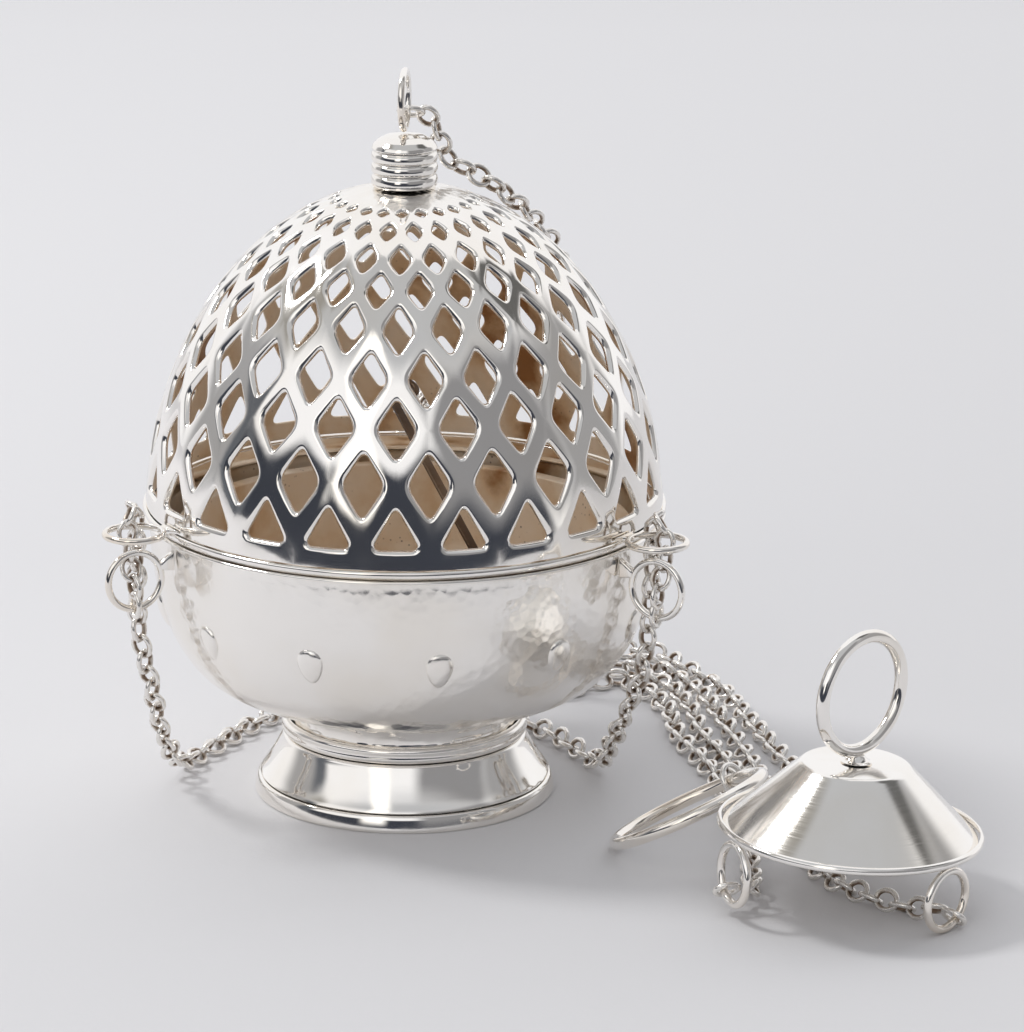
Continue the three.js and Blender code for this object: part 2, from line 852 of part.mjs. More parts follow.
for (const [side, points] of Object.entries(chainRoutes)) {
  piece(`chain_${side}`, chainSolid(points), chainSilver, model);
}

// The origin is on the floor, under the middle of everything but the chains.
model.updateMatrixWorld(true);
const extent = new THREE.Box3();
model.traverse((child) => {
  if (child.isMesh && !child.name.startsWith('chain_')) extent.expandByObject(child, true);
});
const middle = extent.getCenter(new THREE.Vector3());
model.position.set(-middle.x, -middle.y, 0);

export default model;
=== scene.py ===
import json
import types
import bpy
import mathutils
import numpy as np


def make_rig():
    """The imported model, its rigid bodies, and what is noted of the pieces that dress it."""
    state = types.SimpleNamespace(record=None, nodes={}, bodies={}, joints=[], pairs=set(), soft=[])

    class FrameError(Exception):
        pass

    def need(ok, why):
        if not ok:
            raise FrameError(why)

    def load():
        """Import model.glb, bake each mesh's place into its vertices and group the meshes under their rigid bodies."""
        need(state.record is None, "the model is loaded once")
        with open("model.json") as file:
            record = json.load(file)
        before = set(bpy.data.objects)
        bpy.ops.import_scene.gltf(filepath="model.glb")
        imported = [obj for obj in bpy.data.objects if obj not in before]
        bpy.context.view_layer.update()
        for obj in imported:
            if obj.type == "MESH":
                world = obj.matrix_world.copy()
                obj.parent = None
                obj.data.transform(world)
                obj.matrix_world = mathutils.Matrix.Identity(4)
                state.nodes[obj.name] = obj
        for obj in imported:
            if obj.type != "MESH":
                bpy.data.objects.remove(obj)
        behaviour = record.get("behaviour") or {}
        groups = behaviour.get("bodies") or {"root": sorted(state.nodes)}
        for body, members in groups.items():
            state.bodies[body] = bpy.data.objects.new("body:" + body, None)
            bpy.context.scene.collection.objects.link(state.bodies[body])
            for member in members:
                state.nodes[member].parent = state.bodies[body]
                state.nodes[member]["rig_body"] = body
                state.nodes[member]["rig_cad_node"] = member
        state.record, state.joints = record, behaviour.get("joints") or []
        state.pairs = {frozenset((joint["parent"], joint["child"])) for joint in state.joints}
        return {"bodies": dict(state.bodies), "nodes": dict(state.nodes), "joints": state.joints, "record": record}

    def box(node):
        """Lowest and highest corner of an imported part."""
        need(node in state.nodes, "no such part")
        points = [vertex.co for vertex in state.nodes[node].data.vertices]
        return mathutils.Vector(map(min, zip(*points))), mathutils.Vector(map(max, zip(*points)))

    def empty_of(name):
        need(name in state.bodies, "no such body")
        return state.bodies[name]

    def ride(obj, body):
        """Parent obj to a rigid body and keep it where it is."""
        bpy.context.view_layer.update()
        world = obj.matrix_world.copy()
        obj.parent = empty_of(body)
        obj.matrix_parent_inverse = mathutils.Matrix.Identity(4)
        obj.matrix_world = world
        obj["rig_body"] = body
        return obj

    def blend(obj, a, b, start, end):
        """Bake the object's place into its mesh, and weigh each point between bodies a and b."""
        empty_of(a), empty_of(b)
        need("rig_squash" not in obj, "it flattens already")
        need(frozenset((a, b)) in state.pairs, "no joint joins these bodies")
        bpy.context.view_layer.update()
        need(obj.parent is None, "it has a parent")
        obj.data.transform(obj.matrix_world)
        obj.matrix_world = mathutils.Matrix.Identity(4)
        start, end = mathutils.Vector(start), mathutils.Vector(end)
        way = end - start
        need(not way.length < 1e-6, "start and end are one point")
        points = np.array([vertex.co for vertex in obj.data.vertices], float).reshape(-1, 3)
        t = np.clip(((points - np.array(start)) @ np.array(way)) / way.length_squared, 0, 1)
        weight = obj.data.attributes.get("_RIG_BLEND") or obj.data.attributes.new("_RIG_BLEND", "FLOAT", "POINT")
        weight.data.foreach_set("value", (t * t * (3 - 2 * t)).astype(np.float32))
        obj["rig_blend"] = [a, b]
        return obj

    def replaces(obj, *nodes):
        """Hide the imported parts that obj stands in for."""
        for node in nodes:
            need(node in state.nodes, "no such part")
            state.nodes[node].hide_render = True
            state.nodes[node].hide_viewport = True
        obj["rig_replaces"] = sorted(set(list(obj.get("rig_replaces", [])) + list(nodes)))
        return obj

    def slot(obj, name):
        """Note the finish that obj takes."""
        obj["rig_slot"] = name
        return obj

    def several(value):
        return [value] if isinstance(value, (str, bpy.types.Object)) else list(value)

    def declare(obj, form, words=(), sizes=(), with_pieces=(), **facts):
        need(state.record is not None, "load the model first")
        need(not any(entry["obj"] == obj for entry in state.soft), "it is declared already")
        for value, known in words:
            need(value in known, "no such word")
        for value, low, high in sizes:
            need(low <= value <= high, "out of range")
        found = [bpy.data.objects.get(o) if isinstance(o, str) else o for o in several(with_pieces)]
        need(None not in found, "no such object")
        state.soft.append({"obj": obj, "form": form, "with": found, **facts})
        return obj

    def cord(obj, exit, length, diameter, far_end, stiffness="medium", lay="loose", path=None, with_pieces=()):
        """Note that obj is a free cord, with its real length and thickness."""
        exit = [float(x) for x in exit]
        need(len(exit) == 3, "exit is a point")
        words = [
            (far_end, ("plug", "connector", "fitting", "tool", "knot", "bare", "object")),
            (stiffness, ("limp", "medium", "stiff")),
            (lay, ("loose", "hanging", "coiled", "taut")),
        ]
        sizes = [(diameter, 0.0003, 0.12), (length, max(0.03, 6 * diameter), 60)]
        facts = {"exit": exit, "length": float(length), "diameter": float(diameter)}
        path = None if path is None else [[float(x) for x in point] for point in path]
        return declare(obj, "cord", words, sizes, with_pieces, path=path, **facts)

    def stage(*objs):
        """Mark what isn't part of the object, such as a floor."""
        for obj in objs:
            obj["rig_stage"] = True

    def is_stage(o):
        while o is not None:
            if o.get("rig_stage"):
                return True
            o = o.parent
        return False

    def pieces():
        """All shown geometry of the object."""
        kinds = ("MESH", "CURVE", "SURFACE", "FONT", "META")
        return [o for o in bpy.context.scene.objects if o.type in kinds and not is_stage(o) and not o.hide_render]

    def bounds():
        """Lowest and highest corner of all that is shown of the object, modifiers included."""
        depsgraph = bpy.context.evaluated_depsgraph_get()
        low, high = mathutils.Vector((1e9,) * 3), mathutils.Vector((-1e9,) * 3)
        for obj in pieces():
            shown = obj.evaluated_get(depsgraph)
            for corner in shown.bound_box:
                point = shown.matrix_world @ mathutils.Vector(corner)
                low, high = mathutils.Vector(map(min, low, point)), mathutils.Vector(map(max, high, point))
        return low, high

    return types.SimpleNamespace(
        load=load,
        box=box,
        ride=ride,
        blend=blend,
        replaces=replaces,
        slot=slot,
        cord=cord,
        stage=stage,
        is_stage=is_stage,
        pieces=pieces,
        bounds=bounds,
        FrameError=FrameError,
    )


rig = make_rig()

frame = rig.load()

# Looks for the censer. Each builder works in millimetres, and a placing matrix takes its points to
# the row frame in metres.
import json
import random
from math import atan2, cos, exp, floor, hypot, pi, radians, sin, sqrt

import bmesh
import bpy
import numpy as np
from mathutils import Matrix, Vector, noise
from mathutils.kdtree import KDTree

cad_low, cad_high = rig.bounds()
scene = bpy.context.scene
MM = 0.001

# Bowl and foot
SEAM = 80.5
BOWL_RADIUS = 69.5
BOWL_DEPTH = 52.6
BOWL_WALL = 1.3
BOWL_FALL = 2.15
BOWL_FULLNESS = 5.5
BOWL_LINE = 3.4  # the incised line lies this far below the seam
LINE_DEPTH = 0.28
LINE_WIDTH = 0.22
HAMMERED_FROM = 9.0  # and the hammer marks start this far below it
BOSS_COUNT = 12
BOSS_HEIGHT = 54.0
BOSS_PHASE = 10.2
BOSS_HALF_WIDTH = 3.7
BOSS_HALF_LENGTH = 5.0
BOSS_RISE = 1.75
BOSS_SINK = 0.45
FOOT_RADIUS = 41.3
FOOT_BAND = 4.8
FOOT_TOP = 27.5

# Cover
COVER_RADIUS = 70.4
COVER_HEIGHT = 89.4
COVER_CURVE = 1.89
COVER_START = 2.3
COVER_WALL = 1.8
OPENINGS = 24
OPENING_PHASE = 0.3
OPENING_SHARE = 0.66
TRIANGLE_FOOT = 7.4
TRIANGLE_TOP = 19.0
TRIANGLE_WIDENING = 1.06
LOZENGE_MIDDLES = (24.3, 39.2, 52.4, 66.2, 77.9, 87.8, 97.9, 105.8)
LOZENGE_HALVES = (9.3, 8.6, 8.1, 7.6, 6.1, 5.4, 4.1, 2.1)
CROWN_ARC = 111.2
CROWN_HOLE = 2.4
WAVE_DEPTH = 0.11
WAVE_SCALE = 0.09

# Small rings
RING_RADIUS = 7.75
RING_WIRE = 0.95
RING_REACH = 81.2
GUIDE_HEIGHT = 83.4
BOWL_RING_HEIGHT = 70.4
# The angles of the rings and the side chains, from the front towards +X
SIDES = {"left": -60.0, "right": 57.6, "back": 180.0}

# Finial
FINIAL_RADIUS = 9.0
FINIAL_FOOT = 170.3
FINIAL_TOP = 184.0
FINIAL_RING_TURN = 85.0

# Charcoal pan
PAN_RADIUS = 60.0
PAN_TOP = 76.0
PAN_FLOOR = 30.6
PIN_REACH = PAN_RADIUS - 3.0
PIN_HEIGHT = PAN_TOP + 3.7
HANDLE_ANGLE = 23.1
HANDLE_LENGTH = 76.0
HANDLE_LEAN = 66.8
FINGER_EYE = 3.6

# Hand-piece and lifting ring, from the censer's axis
HAND_PLACE = (115.4, -94.9, 19.95)
HAND_TILT = 3.5
PLATE_RADIUS = 33.2
PLATE_TOP_RADIUS = 14.6
PLATE_HEIGHT = 18.8
HAND_RING_RADIUS = 15.3
HAND_RING_WIRE = 1.75
HAND_RING_TURN = 44.5
EYE_RADIUS = 7.8
EYE_WIRE = 1.1
EYE_REACH = 32.5
EYE_DROP = 0.55  # the eyes' tops lie this far below the plate
# For each eye its angle, the angle from there to its link, and 1 or -1 for a pull out or in
EYES = {"left": (-68.0, -90.0, -1), "right": (47.0, 90.0, -1), "back": (168.0, -90.0, 1)}
LIFT_RADIUS = 21.4
LIFT_WIRE = 1.8
LIFT_MIDDLE = Vector((75.7, -55.5, 12.45))
LIFT_NORMAL = Vector((-0.427, 0.213, 0.879)).normalized()
LIFT_OUT = Vector((0.56, 0.82, 0.07))

# Chain links
LINK_HALF_LENGTH = 3.2
LINK_HALF_WIDTH = 2.58
LINK_WIRE = 0.72
LINK_PITCH = 4.95
CHAIN_WIDTH = 5.6
END_GAP = 0.35
JUMP_RADIUS = 4.2

# Where things stand in the row frame
CENSER_TURN = -2.2
base_low, base_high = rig.box("foot_base_band")
axis_x = (base_low.x + base_high.x) / 2
axis_y = (base_low.y + base_high.y) / 2
loose_place = Matrix.Translation((axis_x, axis_y, 0)) @ Matrix.Scale(MM, 4)
censer_place = loose_place @ Matrix.Rotation(radians(CENSER_TURN), 4, "Z")
hand_place = (
    loose_place
    @ Matrix.Translation(HAND_PLACE)
    @ Matrix.Rotation(radians(HAND_TILT), 4, "Y")
)


# Camera at the photograph's angle, aimed at the seam on the censer's axis
CAMERA_DISTANCE = 1.5
CAMERA_ELEVATION = 16.0
FOCAL_PIXELS = 5505.0
IMAGE_SIZE = (1024, 1032)
AIM_PIXEL = (404.5, 505.0)


def new_object(name, data):
    made = bpy.data.objects.new(name, data)
    scene.collection.objects.link(made)
    return made


def make_camera():
    data = bpy.data.cameras.new("camera")
    camera = new_object("camera", data)
    scene.camera = camera
    data.sensor_width = 36
    data.lens = FOCAL_PIXELS * data.sensor_width / max(IMAGE_SIZE)
    data.shift_x = (IMAGE_SIZE[0] / 2 - AIM_PIXEL[0]) / max(IMAGE_SIZE)
    data.shift_y = (AIM_PIXEL[1] - IMAGE_SIZE[1] / 2) / max(IMAGE_SIZE)
    data.clip_start = 0.05
    data.clip_end = 50
    tilt = radians(CAMERA_ELEVATION)
    aim = Vector((axis_x, axis_y, SEAM * MM))
    back = Vector((0, -cos(tilt), sin(tilt)))
    camera.location = aim + back * CAMERA_DISTANCE
    camera.rotation_euler = (radians(90) - tilt, 0, 0)


make_camera()


# Mesh helpers
def new_piece(name, points, faces, place, looks, face_looks=None, sharp=None):
    """A smooth piece from points in millimetres. Its faces are turned outwards."""
    mesh = bpy.data.meshes.new(name)
    mesh.from_pydata([place @ Vector(point) for point in points], [], faces)
    piece = new_object(name, mesh)
    for look in looks:
        mesh.materials.append(look)
    if face_looks is not None:
        mesh.polygons.foreach_set("material_index", face_looks)
    tidy_mesh(mesh)
    mesh.polygons.foreach_set("use_smooth", [True] * len(mesh.polygons))
    if sharp is not None:
        mesh.set_sharp_from_angle(angle=radians(sharp))
    return piece


def tidy_mesh(mesh):
    bm = bmesh.new()
    bm.from_mesh(mesh)
    bmesh.ops.remove_doubles(bm, verts=bm.verts, dist=2e-6)
    bmesh.ops.recalc_face_normals(bm, faces=bm.faces)
    bm.to_mesh(mesh)
    bm.free()


def grid_faces(rows, columns, wrap_rows=False):
    """Quads of a grid whose columns go round."""
    faces = []
    for i in range(rows if wrap_rows else rows - 1):
        here = i * columns
        next_row = (i + 1) % rows * columns
        for j in range(columns):
            right = (j + 1) % columns
            faces.append((here + j, here + right, next_row + right, next_row + j))
    return faces


def bend(start, corner, end, t):
    """A point on the curve that rounds a corner, from start at 0 to end at 1."""
    return start * (1 - t) ** 2 + corner * 2 * t * (1 - t) + end * t**2


def softened(outline, radius, steps=3):
    """A closed outline of [radius, height] points with its corners rounded."""
    made = []
    for i, corner in enumerate(outline):
        here = Vector(corner)
        before = Vector(outline[i - 1])
        after = Vector(outline[(i + 1) % len(outline)])
        if here.x == 0:
            made.append(corner)
            continue
        reach = min(radius, 0.45 * (here - before).length, 0.45 * (after - here).length)
        start = here + (before - here).normalized() * reach
        end = here + (after - here).normalized() * reach
        made += [tuple(bend(start, here, end, k / steps)) for k in range(steps + 1)]
    return made


def turned_parts(outline, segments):
    """Points and faces of a closed outline turned about the upright axis."""
    points = []
    for radius, height in outline:
        for j in range(segments):
            angle = 2 * pi * j / segments
            points.append((radius * sin(angle), -radius * cos(angle), height))
    faces = grid_faces(len(outline), segments, wrap_rows=True)
    kept = [f for f in faces if outline[f[0] // segments][0] or outline[f[2] // segments][0]]
    return points, kept


def wire_ring_parts(radius, wire, steps=64, wire_steps=14, stretch=1.0):
    """Points and faces of a wire ring in the XY plane, longer along X by `stretch`."""
    points = []
    for i in range(wire_steps):
        turn = 2 * pi * i / wire_steps
        for j in range(steps):
            angle = 2 * pi * j / steps
            middle = Vector((radius * stretch * cos(angle), radius * sin(angle), 0))
            out = Vector((cos(angle), stretch * sin(angle), 0)).normalized()
            points.append(middle + out * wire * cos(turn) + Vector((0, 0, wire * sin(turn))))
    return points, grid_faces(wire_steps, steps, wrap_rows=True)


def moved(parts, matrix):
    points, faces = parts
    return [matrix @ Vector(point) for point in points], faces


def laid(parts, middle, x_way, y_way, z_way):
    """Parts moved to a middle, with their axes along the given ways."""
    basis = Matrix((x_way, y_way, z_way)).transposed().to_4x4()
    return moved(parts, Matrix.Translation(middle) @ basis)


def together(*several):
    """One list of points and one of faces from several bodies."""
    points = []
    faces = []
    for more_points, more_faces in several:
        first = len(points)
        points.extend(more_points)
        faces.extend(tuple(first + c for c in face) for face in more_faces)
    return points, faces


def bar_parts(outline, thickness, bevel):
    """A flat plate from an outline in XY, centred on z = 0, with its edges broken."""
    bm = bmesh.new()
    bottom = [bm.verts.new((x, y, -thickness / 2)) for x, y in outline]
    face = bm.faces.new(bottom)
    grown = bmesh.ops.extrude_face_region(bm, geom=[face])
    risen = [item for item in grown["geom"] if isinstance(item, bmesh.types.BMVert)]
    bmesh.ops.translate(bm, verts=risen, vec=(0, 0, thickness))
    bmesh.ops.bevel(bm, geom=bm.edges[:], offset=bevel, segments=3, profile=0.5, affect="EDGES")
    bm.verts.index_update()
    points = [vert.co.copy() for vert in bm.verts]
    faces = [tuple(vert.index for vert in face.verts) for face in bm.faces]
    bm.free()
    return points, faces


def around(angle, reach, height=0.0):
    """A point round the censer's axis, at an angle from the front towards +X."""
    turn = radians(angle)
    return Vector((sin(turn) * reach, -cos(turn) * reach, height))


def about_z(angle):
    return Matrix.Rotation(radians(angle), 4, "Z")


def shift(x, y, z):
    return Matrix.Translation((x, y, z))


def raised(outline, height):
    return [(radius, height + rise) for radius, rise in outline]


def place_of(body):
    """Where the pieces of a body are placed. All but two bodies belong to the censer itself."""
    return {"hand_piece": hand_place, "lift": loose_place}.get(body, censer_place)


UPRIGHT = Matrix.Rotation(radians(90), 4, "X")
SIDEWAYS = Matrix.Rotation(radians(90), 4, "Y")
UP = Vector((0, 0, 1))


def upright(middle, turn):
    """Stands what lies in the XY plane upright at a middle, turned about the upright axis."""
    return Matrix.Translation(middle) @ about_z(turn) @ UPRIGHT


def hanging_on(middle, way, radius, low):
    """A spot on an upright ring, `low` degrees below its middle, and the way of the wire there."""
    turn = radians(low)
    out = way * cos(turn) - UP * sin(turn)
    return middle + out * radius, way * sin(turn) + UP * cos(turn)


def reach_and_height(spot):
    """How far a spot in the row frame is from the censer's axis and the floor, in millimetres."""
    return hypot(spot.x - axis_x, spot.y - axis_y) / MM, spot.z / MM


def spread_marks(piece, spacing, seed, chosen):
    """Points on the chosen part of a mesh, about evenly spaced, as hammer marks lie."""
    draw = random.Random(seed)
    spots = [vert.co.copy() for vert in piece.data.vertices if chosen(vert.co)]
    draw.shuffle(spots)
    cells = {}
    marks = []
    for spot in spots:
        cell = tuple(int(c // spacing) for c in spot)
        near = (
            other
            for i in (-1, 0, 1)
            for j in (-1, 0, 1)
            for k in (-1, 0, 1)
            for other in cells.get((cell[0] + i, cell[1] + j, cell[2] + k), ())
        )
        if all((spot - other).length > spacing for other in near):
            cells.setdefault(cell, []).append(spot)
            marks.append(spot)
    return marks


def hammer(piece, spacing, depth, seed, chosen):
    """Presses a shallow round mark into the mesh at each spot. Sizes are in metres."""
    marks = spread_marks(piece, spacing, seed, chosen)
    tree = KDTree(len(marks))
    for i, mark in enumerate(marks):
        tree.insert(mark, i)
    tree.balance()
    vertices = piece.data.vertices
    normals = [vert.normal.copy() for vert in vertices]
    for vert, normal in zip(vertices, normals):
        if chosen(vert.co):
            away = min(tree.find(vert.co)[2] / spacing, 1.0)
            vert.co += normal * depth * (away**2 - 0.6)
    piece.data.update()


# Node helpers
def new_look(name, color, metallic, roughness):
    look = bpy.data.materials.new(name)
    look.use_nodes = True
    shader = look.node_tree.nodes["Principled BSDF"]
    shader.inputs["Base Color"].default_value = (*color, 1)
    shader.inputs["Metallic"].default_value = metallic
    shader.inputs["Roughness"].default_value = roughness
    return look


def add_node(look, kind, **values):
    node = look.node_tree.nodes.new("ShaderNode" + kind)
    for name, value in values.items():
        node.inputs[name].default_value = value
    return node


def connect(look, source, output, target, entry):
    look.node_tree.links.new(source.outputs[output], target.inputs[entry])


def placed_node(look, kind, **values):
    """A node that is fed with the place on the piece, in metres."""
    node = add_node(look, kind, **values)
    connect(look, add_node(look, "TexCoord"), "Object", node, "Vector")
    return node


def noise_node(look, scale, detail=3.0):
    """Noise over the piece's own place. Scale is in waves per metre."""
    return placed_node(look, "TexNoise", Scale=scale, Detail=detail)


def ramp_node(look, source, output, stops):
    """A colour ramp of (place, colour) stops fed by another node."""
    ramp = add_node(look, "ValToRGB")
    elements = ramp.color_ramp.elements
    while len(elements) < len(stops):
        elements.new(0.5)
    for element, (spot, color) in zip(elements, stops):
        element.position = spot
        element.color = (*color, 1)
    connect(look, source, output, ramp, "Fac")
    return ramp


def range_node(look, source, output, low, high, start=0.3, end=0.7):
    limits = {"From Min": start, "From Max": end, "To Min": low, "To Max": high}
    made = add_node(look, "MapRange", **limits)
    connect(look, source, output, made, "Value")
    return made


def bump_node(look, source, output, height, after=None):
    """A bump whose height is in metres."""
    bump = add_node(look, "Bump", Strength=1.0, Distance=height)
    connect(look, source, output, bump, "Height")
    if after is not None:
        connect(look, after, "Normal", bump, "Normal")
    return bump


def math_node(look, operation, *values, kind="Math"):
    """A Math or VectorMath node. Each value is a number, a vector or the output of a node."""
    node = add_node(look, kind)
    node.operation = operation
    for entry, value in zip(node.inputs, values):
        if isinstance(value, bpy.types.NodeSocket):
            look.node_tree.links.new(value, entry)
        else:
            entry.default_value = value
    return node


def finish_look(look, tone, gloss, bump):
    shader = look.node_tree.nodes["Principled BSDF"]
    connect(look, tone, "Color", shader, "Base Color")
    connect(look, bump, "Normal", shader, "Normal")
    if gloss is not None:
        connect(look, gloss, "Result", shader, "Roughness")
    return look


# Materials
def silver_look(name, bright, dull, rough_low, rough_high, marks=0.0, mark_depth=0.0):
    """Polished silver with faint clouds of tarnish, fine scratches and, if asked, hammer marks."""
    look = new_look(name, bright, 1.0, rough_low)
    clouds = noise_node(look, 38, 4.0)
    tone = ramp_node(look, clouds, "Fac", [(0.42, bright), (0.7, dull)])
    wipes = noise_node(look, 120, 6.0)
    gloss = range_node(look, wipes, "Fac", rough_low, rough_high)
    grain = noise_node(look, 520)
    bump = bump_node(look, grain, "Fac", 0.000005)
    if marks:
        dents = placed_node(look, "TexVoronoi", Scale=marks, Randomness=1.0)
        dents.feature = "SMOOTH_F1"
        dents.inputs["Smoothness"].default_value = 0.25
        bump = bump_node(look, dents, "Distance", mark_depth, after=bump)
    return finish_look(look, tone, gloss, bump)


def tarnish_look(name, stops, rough_low, rough_high, metallic=0.2):
    """Silver that charcoal smoke has browned, with specks of soot."""
    look = new_look(name, stops[0][1], metallic, rough_high)
    clouds = noise_node(look, 34, 8.0)
    tone = ramp_node(look, clouds, "Fac", stops)
    specks = placed_node(look, "TexVoronoi", Scale=520.0, Randomness=1.0)
    speck_mask = range_node(look, specks, "Distance", 1.0, 0.0, 0.06, 0.2)
    patches = noise_node(look, 70, 2.0)
    patch_mask = range_node(look, patches, "Fac", 0.0, 0.75, 0.5, 0.66)
    masks = (speck_mask.outputs["Result"], patch_mask.outputs["Result"])
    soot = math_node(look, "MULTIPLY", *masks)
    mix = add_node(look, "MixRGB", Color2=SOOT)
    connect(look, soot, "Value", mix, "Fac")
    connect(look, tone, "Color", mix, "Color1")
    gloss = range_node(look, clouds, "Fac", rough_low, rough_high)
    grain = noise_node(look, 900)
    return finish_look(look, mix, gloss, bump_node(look, grain, "Fac", 0.00003))


def link_look():
    """Silver wire with painted shade: dark brown on the inner side of each link's wire, where the links shade one
    another, and bright on the outside.
    """
    bright = (0.92, 0.89, 0.85)
    look = new_look("chain_silver", bright, 0.85, 0.28)
    # Painted shade: the attribute is low on the inner side of a link's wire and high outside, and the ramp turns low
    # values dark brown.
    painted_shading = add_node(look, "Attribute")
    painted_shading.attribute_name = "painted_shading"
    clouds = noise_node(look, 420)
    mottle = range_node(look, clouds, "Fac", -0.25, 0.2)
    total = math_node(look, "ADD", painted_shading.outputs["Fac"], mottle.outputs["Result"])
    stops = [(0.0, (0.24, 0.17, 0.12)), (0.24, (0.6, 0.53, 0.46)), (0.5, bright)]
    tone = ramp_node(look, total, "Value", stops)
    gloss = range_node(look, total, "Value", 0.42, 0.16, 0.1, 0.7)
    grain = noise_node(look, 1500, 2.0)
    return finish_look(look, tone, gloss, bump_node(look, grain, "Fac", 0.00002))


def brushed_look(name, middle, bright, dull):
    """Silver polished on a lathe: fine rings round an upright axis through `middle`."""
    look = new_look(name, bright, 1.0, 0.12)
    spot = add_node(look, "TexCoord").outputs["Object"]
    from_axis = math_node(look, "SUBTRACT", spot, (middle.x, middle.y, 0), kind="VectorMath")
    flat = math_node(look, "MULTIPLY", from_axis.outputs["Vector"], (1, 1, 0), kind="VectorMath")
    reach = math_node(look, "LENGTH", flat.outputs["Vector"], kind="VectorMath")
    rings = add_node(look, "TexNoise", Scale=2600.0, Detail=4.0)
    rings.noise_dimensions = "1D"
    connect(look, reach, "Value", rings, "W")
    clouds = noise_node(look, 45, 4.0)
    tone = ramp_node(look, clouds, "Fac", [(0.4, bright), (0.68, dull)])
    gloss = range_node(look, rings, "Fac", 0.09, 0.16)
    return finish_look(look, tone, gloss, bump_node(look, rings, "Fac", 0.000002))


SILVER_BRIGHT = (0.97, 0.945, 0.91)
SILVER_DULL = (0.93, 0.89, 0.83)
SOOT = (0.07, 0.035, 0.015, 1)
TAN_STOPS = [(0.36, (0.36, 0.18, 0.07)), (0.44, (0.78, 0.6, 0.41))]
TAN_STOPS += [(0.52, (0.91, 0.79, 0.64)), (0.66, (0.96, 0.88, 0.77))]
BROWN_STOPS = [(0.3, (0.04, 0.025, 0.015)), (0.5, (0.13, 0.085, 0.055)), (0.7, (0.27, 0.2, 0.14))]
hand_middle = hand_place @ Vector((0, 0, 0))

polished = silver_look("polished_silver", SILVER_BRIGHT, SILVER_DULL, 0.05, 0.12)
wire_silver = silver_look("wire_silver", SILVER_BRIGHT, (0.86, 0.78, 0.68), 0.06, 0.14)
hammered = silver_look("hammered_silver", SILVER_BRIGHT, SILVER_DULL, 0.14, 0.26, 420.0, 0.0001)
turned_silver = brushed_look("turned_silver", hand_middle, SILVER_BRIGHT, SILVER_DULL)
tan = tarnish_look("tan_tarnish", TAN_STOPS, 0.34, 0.55)
brown = tarnish_look("brown_tarnish", BROWN_STOPS, 0.3, 0.5, metallic=0.8)
link_silver = link_look()
